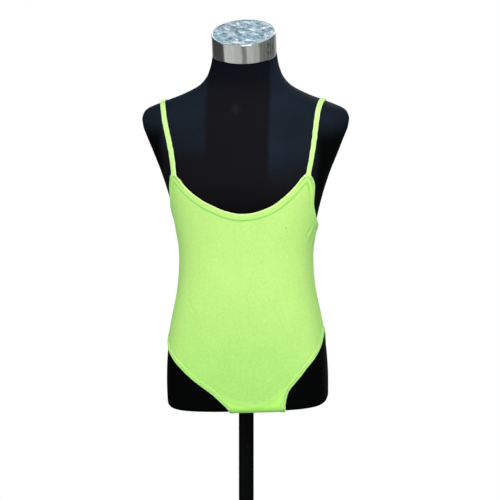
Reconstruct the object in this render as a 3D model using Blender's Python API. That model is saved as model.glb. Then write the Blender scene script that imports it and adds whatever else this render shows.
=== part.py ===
# A stretch leotard with thin straps, worn by a limbless child-size dress form on a pole stand.
# +Z is up, the front faces -Y, and the origin is the centre of the stand's base on the floor.
# The form is a stack of rounded sections. Every piece of cloth lies on that skin at its own lift.

import bmesh
import bpy
import numpy as np
from mathutils import Vector

mm = 0.001

# Stand
BASE_RADIUS = 160 * mm
BASE_EDGE = 6 * mm
BASE_DISH = 10 * mm
BOSS_RADIUS = 18 * mm
BOSS_HEIGHT = 30 * mm
POLE_RADIUS = 11 * mm
POLE_FOOT = 4 * mm
POLE_IN_FORM = 60 * mm
FORM_BOTTOM = 400 * mm

# Dress form, which sits a little askew on its pole
FORM_LEAN = np.radians(0.4)
LEAN_PIVOT = 235 * mm
BOTTOM_TILT = np.radians(1.6)
BOTTOM_TILT_REACH = 140 * mm
BOTTOM_SHIFT = 1.5 * mm
FORM_EDGE_RADIUS = 8 * mm
NECK_TILT_STARTS = 466 * mm
NECK_TOP = 511 * mm
NECK_TILT = np.radians(15.5)
NECK_ROLL = np.radians(-0.4)
NECK_LEAN = -7 * mm
CAP_RADIUS = 46.4 * mm
CAP_HEIGHT = 33 * mm
CAP_AXIS_TILT = np.radians(18)
CAP_TOP_TILT = np.radians(20)
CAP_TOP_ROLL = np.radians(1)

# Cloth
SEAM_GAP = 0.3 * mm
CLOTH_CLEARANCE = 0.7 * mm
CLOTH_THICKNESS = 1.1 * mm
BINDING_THICKNESS = 2.0 * mm
STRIP_SOFTNESS = 0.9 * mm
NECK_BINDING_WIDTH = 10 * mm
ARM_BINDING_WIDTH = 10 * mm
LEG_BINDING_WIDTH = 7.5 * mm
STRAP_WIDTH = 7.6 * mm
SIDE_SEAM_LEFT = -95
SIDE_SEAM_RIGHT = 86

# The form's sections, in millimetres above its flat bottom. Squareness is the exponent of the
# rounded outline: 2 is an ellipse, and more is squarer.
SECTION_COLUMNS = ("height", "half_width", "front", "back", "squareness")
SECTIONS = (
    (0, 117, 84, 84, 3.1),
    (43, 117.5, 85, 87, 3.0),
    (83, 115, 85, 88, 2.8),
    (128, 107, 84, 82, 2.6),
    (173, 98.5, 82, 73, 2.5),
    (223, 96, 79, 69, 2.5),
    (268, 102.5, 80, 74, 2.5),
    (316, 114.5, 82, 80, 2.4),
    (340, 122.5, 80, 81, 2.3),
    (363, 132, 75, 80, 2.2),
    (386, 141, 68, 77, 2.1),
    (409, 149.5, 59, 71, 2.1),
    (421, 150, 54, 67, 2.1),
    (433, 141, 49, 62, 2.1),
    (444, 113.5, 45, 57, 2.1),
    (453, 90.5, 43, 53, 2.0),
    (464, 69, 43, 48, 2.0),
    (476, 56.5, 45, 44, 2.0),
    (488, 51, 48, 41, 2.0),
    (511, 46, 53, 39, 2.0),
)

# Edges of the cloth, in millimetres: x to the wearer's left, height above the form's bottom.
# Front and back edges are (x, height), and edges that go round the side are (degrees, height),
# where 0 degrees is the front, 90 the +X side and 180 the back.
NECK_FRONT = ((-78.5, 310.5), (-45, 290), (0, 277.5), (44.5, 288), (76, 312.5))
NECK_BACK = ((-62, 296), (-32, 273), (0, 265), (32, 273), (62, 296))
ARM_LEFT = (
    (-64, 318), (-67, 305), (-72.5, 290), (-81, 275), (-92, 262),
    (-104, 257), (-114, 263), (-121, 280), (-125, 302),
)
ARM_RIGHT = (
    (59.5, 320), (61, 309), (62.5, 296), (66, 283), (73, 269),
    (84, 258), (97, 254), (110, 259), (120, 276), (125, 300),
)
CROTCH_SEAM = ((-27.5, 22), (-12, 15.5), (3, 12), (18, 10.5), (30, 12.5), (42, 18.5), (52, 26), (61, 35))
BACK_SEAM_HEIGHT = 13

# Leg openings as closed rings: down the front wall, under the form past the pole, up the back
# wall and over the hip. Wall rows are (x, height), rows under the form are (x, y).
LEG_LEFT_FRONT = ((-107, 90), (-96.5, 77), (-85, 67), (-73, 57), (-59.5, 47), (-43.5, 36), (-29, 23.5), (-17, 11.5))
LEG_LEFT_UNDER = ((-6, -66), (10, -38), (20, 0), (13, 38), (-6, 66))
LEG_LEFT_BACK = ((-30, 13), (-48, 24), (-72, 43), (-92, 66), (-106, 88))
LEG_LEFT_HIP = ((-96, 106), (-78, 101))
LEG_RIGHT_FRONT = ((106.7, 94), (99, 81), (88, 68), (78.5, 56), (69, 45), (61.5, 35), (57.5, 25), (55, 13))
LEG_RIGHT_UNDER = ((53, -62), (50.5, -32), (50, 0), (52, 34), (57, 62))
LEG_RIGHT_BACK = ((69, 13), (80, 24), (93, 43), (104, 67), (110, 90))
LEG_RIGHT_HIP = ((96, 114), (81, 109))

# Straps run from the front peak over the shoulder to the back peak: x, y and height.
STRAP_LEFT = (
    (-97.2, -54.5, 336), (-100.7, -50.5, 367), (-106, -45, 391), (-111.5, -40, 412), (-116, -28, 434),
    (-118.5, -13, 441), (-119, 2, 443), (-118, 18, 440), (-114, 40, 426),
    (-106, 56, 402), (-97, 62, 368), (-86, 62, 328),
)
STRAP_RIGHT = (
    (94.5, -60, 336), (100, -54, 368), (103.2, -49, 391), (105.6, -44, 413), (108, -33, 433),
    (111.5, -18, 444), (114, 0, 446), (113, 18, 443), (110, 40, 430),
    (104, 57, 402), (96, 63, 368), (86, 62, 328),
)

# Peaks, where the neck and arm bindings meet under a strap: the seams' corner and the strap's foot.
PEAK_COLUMNS = ("corner_x", "corner_height", "foot_x", "foot_height")
PEAKS = {
    "front_left": (-98, 330, -99.3, 341),
    "front_right": (91.5, 330.5, 95, 340.5),
    "back_left": (-84, 322, -86, 333),
    "back_right": (84, 322, 86, 333),
}

# Where the cloth stands off the form: a soft hill under the +X arm
EASE_COLUMNS = ("degrees", "height", "degrees_spread", "height_spread", "lift")
EASE = (
    (90, 268, 20, 32, 1.6),
    (62, 322, 9, 16, 0.8),
)

# How finely the surfaces are divided. A bend of one radian counts as BEND_LENGTH more of a line.
FORM_SPOKES = 48
SIDE_STEPS = 11
MIDDLE_STEPS = 14
PANEL_ROWS = 16
SEAM_ROWS = 3
UNDER_PLACES = (-1.75, -1.5, -1.25, -1, -0.75, -0.5, -0.25, 0, 0.25, 0.5, 0.75, 1, 1.25, 1.5, 1.75)
STRAP_STEPS = 24
BEND_LENGTH = 16 * mm
LINE_STEP = 0.5 * mm
PROBE = 0.05 * mm
OVERRUN = 18 * mm
TRIM_REACH = 35 * mm

COLOURS = {
    "cloth": ((0.52, 0.90, 0.20, 1), 0.75, 0.0),
    "binding": ((0.60, 0.96, 0.24, 1), 0.70, 0.0),
    "jersey": ((0.010, 0.012, 0.016, 1), 0.85, 0.0),
    "chrome": ((0.62, 0.63, 0.62, 1), 0.15, 1.0),
    "black_steel": ((0.008, 0.008, 0.009, 1), 0.35, 0.3),
}


def clear_scene():
    for obj in list(bpy.data.objects):
        bpy.data.objects.remove(obj, do_unlink=True)


def material(name):
    found = bpy.data.materials.get(name)
    if found:
        return found
    colour, roughness, metallic = COLOURS[name]
    made = bpy.data.materials.new(name)
    made.use_nodes = True
    shader = made.node_tree.nodes["Principled BSDF"]
    shader.inputs["Base Color"].default_value = colour
    shader.inputs["Roughness"].default_value = roughness
    shader.inputs["Metallic"].default_value = metallic
    made.diffuse_color = colour
    return made


# Curves through a few points


def tangents(steps, values):
    slopes = np.diff(values, axis=0) / steps[:, None]
    inner = (slopes[:-1] * steps[1:, None] + slopes[1:] * steps[:-1, None]) / (steps[:-1] + steps[1:])[:, None]
    return np.vstack([slopes[:1], inner, slopes[-1:]])


def hermite(at, knots, values):
    """Smooth values at the places given, through values known at the knots."""
    steps = np.diff(knots)
    rates = tangents(steps, values)
    at = np.clip(at, knots[0], knots[-1])
    i = np.clip(np.searchsorted(knots, at, side="right") - 1, 0, len(knots) - 2)
    t = ((at - knots[i]) / steps[i])[:, None]
    h = steps[i][:, None]
    start = (2 * t**3 - 3 * t**2 + 1) * values[i] + (t**3 - 2 * t**2 + t) * h * rates[i]
    end = (3 * t**2 - 2 * t**3) * values[i + 1] + (t**3 - t**2) * h * rates[i + 1]
    return start + end


def lengths_along(points):
    return np.concatenate([[0], np.cumsum(np.linalg.norm(np.diff(points, axis=0), axis=1))])


def picked(points, along, count):
    """A line's points at count even shares of a measure that grows along it."""
    even = np.linspace(0, along[-1], count)
    return np.stack([np.interp(even, along, points[:, k]) for k in range(points.shape[1])], axis=1)


def line_through(points, closed=False):
    """A smooth line on the form's skin through a few points, in fine even steps."""
    points = np.asarray(points, float)
    wrap = 3 if closed else 0
    if closed:
        points = np.vstack([points[-wrap:], points, points[:wrap]])
    knots = lengths_along(points)
    low, high = knots[wrap], knots[-wrap] if closed else knots[-1]
    at = np.linspace(low, high, max(int((high - low) / LINE_STEP), 2))
    line = settled(hermite(at, knots, points))
    along = lengths_along(line)
    return picked(line, along, max(int(along[-1] / LINE_STEP), 2))


def stations(line, steps):
    """Points that divide a line into steps, shorter where the skin bends."""
    bends = np.linalg.norm(np.diff(outward(line), axis=0), axis=1)
    along = lengths_along(line)
    along[1:] += np.cumsum(bends) * BEND_LENGTH
    return picked(line, along, steps + 1)


# The dress form's skin, in metres above its flat bottom


SECTION_TABLE = np.array(SECTIONS, float)
SECTION_HEIGHTS = SECTION_TABLE[:, 0] * mm
SECTION_SHAPES = SECTION_TABLE[:, 1:] * np.array([mm, mm, mm, 1])


def fullness(points):
    """1 on the form's side wall, less inside and more outside."""
    shape = hermite(points[:, 2], SECTION_HEIGHTS, SECTION_SHAPES)
    depth = np.where(points[:, 1] < 0, shape[:, 1], shape[:, 2])
    square = shape[:, 3]
    wide = np.abs(points[:, 0] / shape[:, 0]) ** square
    deep = np.abs(points[:, 1] / depth) ** square
    return (wide + deep + 1e-12) ** (1 / square)


def slope_of(measure, points):
    slope = np.empty_like(points)
    for axis, nudge in enumerate(np.eye(3) * PROBE):
        slope[:, axis] = (measure(points + nudge) - measure(points - nudge)) / (2 * PROBE)
    return slope


def gap(points):
    """Distance from the form's skin, outwards, with its bottom edge rounded."""
    steepness = np.linalg.norm(slope_of(fullness, points), axis=1)
    beside = (fullness(points) - 1) / np.maximum(steepness, 1e-3) + FORM_EDGE_RADIUS
    below = FORM_EDGE_RADIUS - points[:, 2]
    corner = np.hypot(np.maximum(beside, 0), np.maximum(below, 0))
    return np.minimum(np.maximum(beside, below), 0) + corner - FORM_EDGE_RADIUS


def outward(points):
    slope = slope_of(gap, points)
    return slope / np.maximum(np.linalg.norm(slope, axis=1), 1e-9)[:, None]


def settled(points):
    """Each point moved to the nearest place on the form's skin."""
    points = np.array(points, float)
    for _ in range(6):
        points = points - gap(points)[:, None] * outward(points)
    return points


def ease(points):
    """How far more the cloth stands off the form at each point."""
    total = np.zeros(len(points))
    for degrees, height, degrees_spread, height_spread, lift in EASE:
        round_by = (angle_of(points) - degrees) / degrees_spread
        up_by = (points[:, 2] - height * mm) / (height_spread * mm)
        total += lift * mm * np.exp(-(round_by**2) - up_by**2)
    return total


def lifted(points, lift):
    """Points of the cloth at a lift above where its inside touches nothing."""
    return points + outward(points) * (ease(points) + lift)[:, None]


def round_points(degrees, heights):
    """Points on the wall at an angle from the front."""
    turn = np.radians(np.asarray(degrees, float))
    heights = np.broadcast_to(np.asarray(heights, float), turn.shape)
    ray = np.stack([np.sin(turn), -np.cos(turn), np.zeros_like(turn)], axis=1) * mm
    ray[:, 2] = heights
    scale = 1 / fullness(ray)
    return np.stack([ray[:, 0] * scale, ray[:, 1] * scale, heights], axis=1)


def bottom_shift(z):
    """How far the form's bottom sits over to +X, less and less up the form."""
    return BOTTOM_SHIFT * (1 - np.clip(z / BOTTOM_TILT_REACH, 0, 1)) ** 2


def wall_points(rows, back=False):
    """Points on the front or the back wall from (x, height) rows in millimetres."""
    x, height = np.asarray(rows, float).T * mm
    x = x - bottom_shift(height)
    shape = hermite(height, SECTION_HEIGHTS, SECTION_SHAPES)
    depth = shape[:, 2] if back else -shape[:, 1]
    share = 1 - np.abs(x / shape[:, 0]) ** shape[:, 3]
    return np.stack([x, depth * share ** (1 / shape[:, 3]), height], axis=1)


def side_points(rows):
    degrees, height = np.asarray(rows, float).T
    return round_points(degrees, height * mm)


def under_points(rows):
    x, y = np.asarray(rows, float).T * mm
    x = x - BOTTOM_SHIFT
    return np.stack([x, y, np.zeros_like(x)], axis=1)


def half_depth(x, back):
    """Half of the form's depth just above its bottom edge."""
    wide, front, behind, square = SECTION_SHAPES[0]
    share = np.clip(1 - np.abs(x / wide) ** square, 0, 1) ** (1 / square)
    return np.where(back, behind, front) * share


def place_under(points):
    """How far under the form a point is: 0 below the middle, 1 and -1 where the rounded edge starts
    at the back and at the front, and 2 and -2 where that edge ends in the wall."""
    x, y, z = points.T
    flat = half_depth(x, y > 0) - FORM_EDGE_RADIUS
    bend = np.arccos(np.clip(1 - z / FORM_EDGE_RADIUS, -1, 1)) / (np.pi / 2)
    rise = np.maximum(z / FORM_EDGE_RADIUS - 1, 0)
    return np.sign(y) * np.where(np.abs(y) < flat, np.abs(y) / flat, 1 + np.minimum(bend, 1) + rise)


def row_under(left, right, place, steps):
    """Points across the form's underside at one place, from a left point to a right one."""
    x = np.linspace(left[0], right[0], steps + 1)
    bend = max(abs(place) - 1, 0) * np.pi / 2
    flat = half_depth(x, place > 0) - FORM_EDGE_RADIUS
    y = np.sign(place) * (flat * min(abs(place), 1) + FORM_EDGE_RADIUS * np.sin(bend))
    z = np.full_like(x, FORM_EDGE_RADIUS * (1 - np.cos(bend)))
    return np.vstack([left, settled(np.stack([x, y, z], axis=1))[1:-1], right])


def angle_of(points):
    return np.degrees(np.arctan2(points[:, 0], -points[:, 1]))


# Solids


def add_object(name, bm, finish):
    """A named object from a mesh whose small faces, which may be bent, are split into triangles."""
    bent = [f for f in bm.faces if len(f.verts) in range(4, 9)]
    bmesh.ops.triangulate(bm, faces=bent, quad_method="SHORT_EDGE")
    bmesh.ops.recalc_face_normals(bm, faces=bm.faces)
    mesh = bpy.data.meshes.new(name)
    bm.to_mesh(mesh)
    bm.free()
    mesh.materials.append(material(finish))
    mesh.shade_smooth()
    mesh.set_sharp_from_angle(angle=np.radians(50))
    obj = bpy.data.objects.new(name, mesh)
    bpy.context.scene.collection.objects.link(obj)
    return obj


def bottom_tilt(x, z):
    """How far the form's crooked bottom lifts a point, less and less up the form."""
    share = 1 - np.clip(z / BOTTOM_TILT_REACH, 0, 1)
    return x * np.tan(BOTTOM_TILT) * share**2


def on_stand(points):
    """Points of the form or the cloth, moved to where the form sits on its pole."""
    x, y, z = np.moveaxis(np.asarray(points), -1, 0)
    up = z + bottom_tilt(x, z) - LEAN_PIVOT
    x = x + bottom_shift(z)
    across = x * np.cos(FORM_LEAN) - up * np.sin(FORM_LEAN)
    height = x * np.sin(FORM_LEAN) + up * np.cos(FORM_LEAN)
    return np.stack([across, y, height + LEAN_PIVOT + FORM_BOTTOM], axis=-1)


def loft(rings, closed=False, capped=True):
    """A bmesh that joins rings of equal count, with flat ends unless it is closed."""
    bm = bmesh.new()
    loops = [[bm.verts.new(Vector(p)) for p in ring] for ring in rings]
    count = len(loops[0])
    pairs = list(zip(loops, loops[1:] + loops[:1])) if closed else list(zip(loops, loops[1:]))
    for low, high in pairs:
        for k in range(count):
            n = (k + 1) % count
            bm.faces.new((low[k], low[n], high[n], high[k]))
    if capped and not closed:
        bm.faces.new(loops[0])
        bm.faces.new(loops[-1])
    return bm


def turned(name, profile, finish):
    """A solid of revolution about Z from (radius, height) rows that start and end on the axis."""
    turn = np.linspace(0, 2 * np.pi, 65)[:-1]
    rings = [np.stack([r * np.cos(turn), r * np.sin(turn), np.full_like(turn, z)], axis=1) for r, z in profile]
    return add_object(name, loft(rings), finish)


def cloth_wall(name, grid, finish="cloth"):
    """A sheet of cloth from a grid of points on the skin: an inner and an outer wall, closed all round."""
    rows, columns = grid.shape[:2]
    flat = grid.reshape(-1, 3)
    inner = on_stand(lifted(flat, CLOTH_CLEARANCE))
    outer = on_stand(lifted(flat, CLOTH_CLEARANCE + CLOTH_THICKNESS))
    bm = bmesh.new()
    low = [bm.verts.new(Vector(p)) for p in inner]
    high = [bm.verts.new(Vector(p)) for p in outer]
    for r in range(rows - 1):
        for c in range(columns - 1):
            a, b = r * columns + c, r * columns + c + 1
            d, e = a + columns, b + columns
            bm.faces.new((high[a], high[b], high[e], high[d]))
            bm.faces.new((low[d], low[e], low[b], low[a]))
    rim = [c for c in range(columns)]
    rim += [r * columns + columns - 1 for r in range(1, rows)]
    rim += [(rows - 1) * columns + c for c in range(columns - 2, -1, -1)]
    rim += [r * columns for r in range(rows - 2, 0, -1)]
    for a, b in zip(rim, rim[1:] + rim[:1]):
        bm.faces.new((low[a], low[b], high[b], high[a]))
    return add_object(name, bm, finish)


def trim(bm, point, direction):
    """Cuts off what lies beyond a plane near a point and closes the cut."""
    near = {v for v in bm.verts if (v.co - Vector(point)).length < TRIM_REACH}
    faces = [f for f in bm.faces if near.intersection(f.verts)]
    edges = {e for f in faces for e in f.edges}
    geometry = list({v for f in faces for v in f.verts}) + list(edges) + faces
    cut = bmesh.ops.bisect_plane(
        bm, geom=geometry, plane_co=Vector(point), plane_no=Vector(direction), clear_outer=True, dist=1e-7
    )
    edges = [g for g in cut["geom_cut"] if isinstance(g, bmesh.types.BMEdge)]
    bmesh.ops.holes_fill(bm, edges=edges, sides=0)


def strip_profile(start, end):
    """A folded strip's section as (across, lift) rows, round from its seam side to its free edge."""
    low = CLOTH_CLEARANCE
    high = CLOTH_CLEARANCE + BINDING_THICKNESS
    return (
        (start, low),
        (end - STRIP_SOFTNESS / 2, low),
        (end, (low + high) / 2),
        (end - STRIP_SOFTNESS, high),
        (start + STRIP_SOFTNESS, high),
        (start, high - STRIP_SOFTNESS),
    )


def strip_mesh(line, profile, towards, closed=False):
    """A strip laid on the skin beside a line. Towards is +1 or -1, the side of the line it lies on."""
    if closed:
        along = np.roll(line, -1, axis=0) - np.roll(line, 1, axis=0)
    else:
        along = np.gradient(line, axis=0)
    across = np.cross(outward(line), along) * towards
    across /= np.linalg.norm(across, axis=1)[:, None]
    walls = [lifted(settled(line + across * c), lift) for c, lift in profile]
    rings = [on_stand(np.array([wall[k] for wall in walls])) for k in range(len(line))]
    return loft(rings, closed=closed)


def overrun(line):
    """A line of stations carried on past both ends, so that its strip can be trimmed at the peaks."""
    head = line[0] - line[1]
    tail = line[-1] - line[-2]
    steps = np.array([[0.5], [1]]) * OVERRUN
    before = line[0] + steps[::-1] * head / np.linalg.norm(head)
    after = line[-1] + steps * tail / np.linalg.norm(tail)
    return np.vstack([settled(before), line, settled(after)])


# Edges of the garment as lines on the skin


def peak_corner(name):
    corner_x, corner_height = PEAKS[name][:2]
    return settled(wall_points([(corner_x, corner_height)], back=name.startswith("back")))[0]


def peak_foot(name):
    foot_x, foot_height = PEAKS[name][2:]
    return settled(wall_points([(foot_x, foot_height)], back=name.startswith("back")))[0]


def open_edge(first, inner, last):
    return line_through(np.vstack([first, inner, last]))


def leg_line(front, under, back, hip):
    return line_through(
        np.vstack([
            wall_points(front),
            under_points(under),
            wall_points(back, back=True),
            side_points(hip),
        ]),
        closed=True,
    )


def nearest(line, point):
    return int(np.argmin(np.linalg.norm(line - point, axis=1)))


def where_angle(line, degrees, low):
    """Index of the point of a line at an angle round the form, above a height."""
    away = np.abs(angle_of(line) - degrees) + np.where(line[:, 2] < low, 1e3, 0)
    return int(np.argmin(away))


def run(line, start, end):
    """The stretch of a closed line from one index to another, the shorter way round."""
    count = len(line)
    forward = (end - start) % count
    if forward <= count - forward:
        return line[(start + np.arange(forward + 1)) % count]
    return line[(start - np.arange(count - forward + 1)) % count]


def unrolled(points, side):
    """Angle and height of points, with angles that run on past the back for the back panel."""
    degrees = angle_of(points)
    if side == "back":
        degrees = np.where(degrees < 0, degrees + 360, degrees)
    return np.stack([degrees, points[:, 2]], axis=1)


def joined(*runs):
    """One line from runs that each start where the last one ends."""
    return np.vstack([runs[0]] + [run[1:] for run in runs[1:]])


def panel(name, bottom, top, side):
    """A panel ruled between the stations of its bottom edge and of its top edge."""
    seam = np.degrees(SEAM_GAP / 2 / SECTION_SHAPES[:, 0].mean())
    edges = []
    for edge in (bottom, top):
        edge = unrolled(edge, side)
        edge[0, 0] += seam
        edge[-1, 0] -= seam
        edges.append(edge)
    up = np.linspace(0, 1, PANEL_ROWS + 1)[:, None, None]
    grid = edges[0] * (1 - up) + edges[1] * up
    flat = grid.reshape(-1, 2)
    points = settled(round_points(flat[:, 0], flat[:, 1]))
    return cloth_wall(name, points.reshape(PANEL_ROWS + 1, -1, 3))


def under_stations(line):
    """A leg edge's stations from seam to seam, place by place under the form."""
    place = place_under(line)
    first = np.argmax(place > UNDER_PLACES[0])
    last = np.argmax(place > UNDER_PLACES[-1])
    front = line[np.linspace(0, first, SEAM_ROWS + 1).round().astype(int)[:-1]]
    back = line[np.linspace(last, len(line) - 1, SEAM_ROWS + 1).round().astype(int)[1:]]
    under = np.stack([np.interp(UNDER_PLACES, place, line[:, k]) for k in range(3)], axis=1)
    return np.vstack([front, under, back])


def stepped_in(places, line):
    """Stations with the end ones moved one step in along their line, clear of the seams there."""
    return np.vstack([line[1], places[1:-1], line[-2]])


def gusset(left, right, front, back):
    """The crotch piece between the stations of two leg edges and of two seams."""
    front[0], front[-1], back[0], back[-1] = left[0], right[0], left[-1], right[-1]
    steps = len(front) - 1
    rows = [row_under(left[SEAM_ROWS + k], right[SEAM_ROWS + k], p, steps) for k, p in enumerate(UNDER_PLACES)]
    share = np.linspace(0, 1, SEAM_ROWS + 1)[:, None, None]
    first = front * (1 - share[:-1]) + rows[0] * share[:-1]
    last = rows[-1] * (1 - share[1:]) + back * share[1:]
    grid = np.concatenate([first, rows, last])
    grid[:, 0] = left
    grid[:, -1] = right
    inner = grid[1:-1, 1:-1]
    grid[1:-1, 1:-1] = settled(inner.reshape(-1, 3)).reshape(inner.shape)
    return cloth_wall("gusset", grid)


def mitre(name):
    """Corner, foot and sideways direction of the mitre at a peak, on the form."""
    corner, foot = peak_corner(name), peak_foot(name)
    across = np.cross(foot - corner, outward(corner[None])[0])
    return corner, foot, across / np.linalg.norm(across)


def trim_at_peak(bm, name, keep_towards):
    """Trims a binding at a peak's mitre and under its strap's foot."""
    corner, foot, across = mitre(name)
    if np.dot(across, keep_towards - corner) > 0:
        across = -across
    trim(bm, on_stand(corner - across * SEAM_GAP / 2), across)
    trim(bm, on_stand(foot - np.array([0, 0, SEAM_GAP / 2])), (0, 0, 1))


def edge_binding(name, line, peaks, towards, width):
    """A strip along an open edge, mitred at the two peaks that it ends in."""
    bm = strip_mesh(overrun(line), strip_profile(SEAM_GAP, width), towards)
    middle = line[len(line) // 2]
    for peak in peaks:
        trim_at_peak(bm, peak, middle)
    return add_object(name, bm, "binding")


def leg_binding(name, line, towards):
    bm = strip_mesh(line, strip_profile(SEAM_GAP, LEG_BINDING_WIDTH), towards, closed=True)
    return add_object(name, bm, "binding")


def strap(name, route, peaks):
    line = stations(line_through(np.asarray(route, float) * mm), STRAP_STEPS)
    bm = strip_mesh(line, strip_profile(-STRAP_WIDTH / 2, STRAP_WIDTH / 2), 1)
    for peak in peaks:
        foot = peak_foot(peak)
        trim(bm, on_stand(foot + np.array([0, 0, SEAM_GAP / 2])), (0, 0, -1))
    return add_object(name, bm, "binding")


# The dress form and its stand


def neck_shear(points):
    """Tips the neck's top rings forward and a little sideways, more and more up to the cap."""
    share = np.clip((points[:, 2] - NECK_TILT_STARTS) / (NECK_TOP - NECK_TILT_STARTS), 0, 1)
    tipped = points.copy()
    tipped[:, 2] += np.tan(NECK_TILT * share) * (points[:, 1] - NECK_LEAN) + np.tan(NECK_ROLL * share) * points[:, 0]
    return tipped


def dress_form():
    degrees = np.linspace(0, 360, FORM_SPOKES + 1)[:-1]
    edge = FORM_EDGE_RADIUS
    edge_heights = [edge * (1 - np.cos(a)) for a in np.radians((0, 18, 36, 54, 72, 90))]
    wall_heights = list(np.arange(20, 420, 20) * mm) + [h * mm for h in (421, 428, 434, 439, 444, 449, 455, 463, 472, 483, 496)]
    turn = np.radians(degrees)
    bore = np.stack([np.sin(turn), -np.cos(turn), np.zeros_like(turn)], axis=1) * (POLE_RADIUS + SEAM_GAP)
    mouth = bore + np.array([0, 0, FORM_BOTTOM])
    mouth[:, 2] += (bore[:, 0] - LEAN_PIVOT * np.tan(FORM_LEAN)) * np.tan(FORM_LEAN) + bottom_tilt(bore[:, 0] - BOTTOM_SHIFT, 0)
    rings = []
    for height in edge_heights:
        ring = round_points(degrees, max(height, 0.01 * mm))
        inset = edge - np.sqrt(max(edge**2 - (edge - height) ** 2, 0))
        ring[:, :2] *= 1 - inset / np.linalg.norm(ring[:, :2], axis=1)[:, None]
        rings.append(settled(ring))
    rings += [neck_shear(round_points(degrees, height)) for height in wall_heights]
    rings.append(neck_shear(round_points(degrees, NECK_TOP)))
    socket = [bore + np.array([0, 0, FORM_BOTTOM + POLE_IN_FORM]), mouth]
    return add_object("dress_form", loft(socket + [on_stand(ring) for ring in rings]), "jersey")


def tilted_circle(radius, centre, tilt, roll, turn):
    x, y = radius * np.sin(turn), -radius * np.cos(turn)
    return centre + np.stack([x, y, y * np.tan(tilt) + x * np.tan(roll)], axis=1)


def neck_cap():
    turn = np.linspace(0, 2 * np.pi, FORM_SPOKES + 1)[:-1]
    axis = np.array([0, -np.sin(CAP_AXIS_TILT), np.cos(CAP_AXIS_TILT)])
    foot = np.array([0, NECK_LEAN, NECK_TOP + SEAM_GAP])
    soft = 1.2 * mm
    rings = (
        (CAP_RADIUS, 0, NECK_TILT, NECK_ROLL),
        (CAP_RADIUS, CAP_HEIGHT - soft, CAP_TOP_TILT, CAP_TOP_ROLL),
        (CAP_RADIUS - 0.35 * soft, CAP_HEIGHT - 0.35 * soft, CAP_TOP_TILT, CAP_TOP_ROLL),
        (CAP_RADIUS - soft, CAP_HEIGHT, CAP_TOP_TILT, CAP_TOP_ROLL),
    )
    made = [on_stand(tilted_circle(r, foot + axis * up, tilt, roll, turn)) for r, up, tilt, roll in rings]
    return add_object("neck_cap", loft(made), "chrome")


def stand():
    hole = POLE_RADIUS + SEAM_GAP
    top = BASE_EDGE + BASE_DISH
    turned("stand_base", (
        (BASE_RADIUS - 1.5 * mm, 0),
        (BASE_RADIUS, 1.5 * mm),
        (BASE_RADIUS, BASE_EDGE - 2 * mm),
        (BASE_RADIUS - 2 * mm, BASE_EDGE),
        (BASE_RADIUS * 0.7, BASE_EDGE + BASE_DISH * 0.25),
        (BASE_RADIUS * 0.35, BASE_EDGE + BASE_DISH * 0.7),
        (BOSS_RADIUS + 3 * mm, top),
        (BOSS_RADIUS, top + 3 * mm),
        (BOSS_RADIUS, BOSS_HEIGHT - 2 * mm),
        (BOSS_RADIUS - 2 * mm, BOSS_HEIGHT),
        (hole, BOSS_HEIGHT),
        (hole, POLE_FOOT),
    ), "black_steel")
    turned("stand_pole", (
        (POLE_RADIUS, POLE_FOOT + SEAM_GAP),
        (POLE_RADIUS, FORM_BOTTOM + POLE_IN_FORM - SEAM_GAP),
    ), "black_steel")


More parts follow.
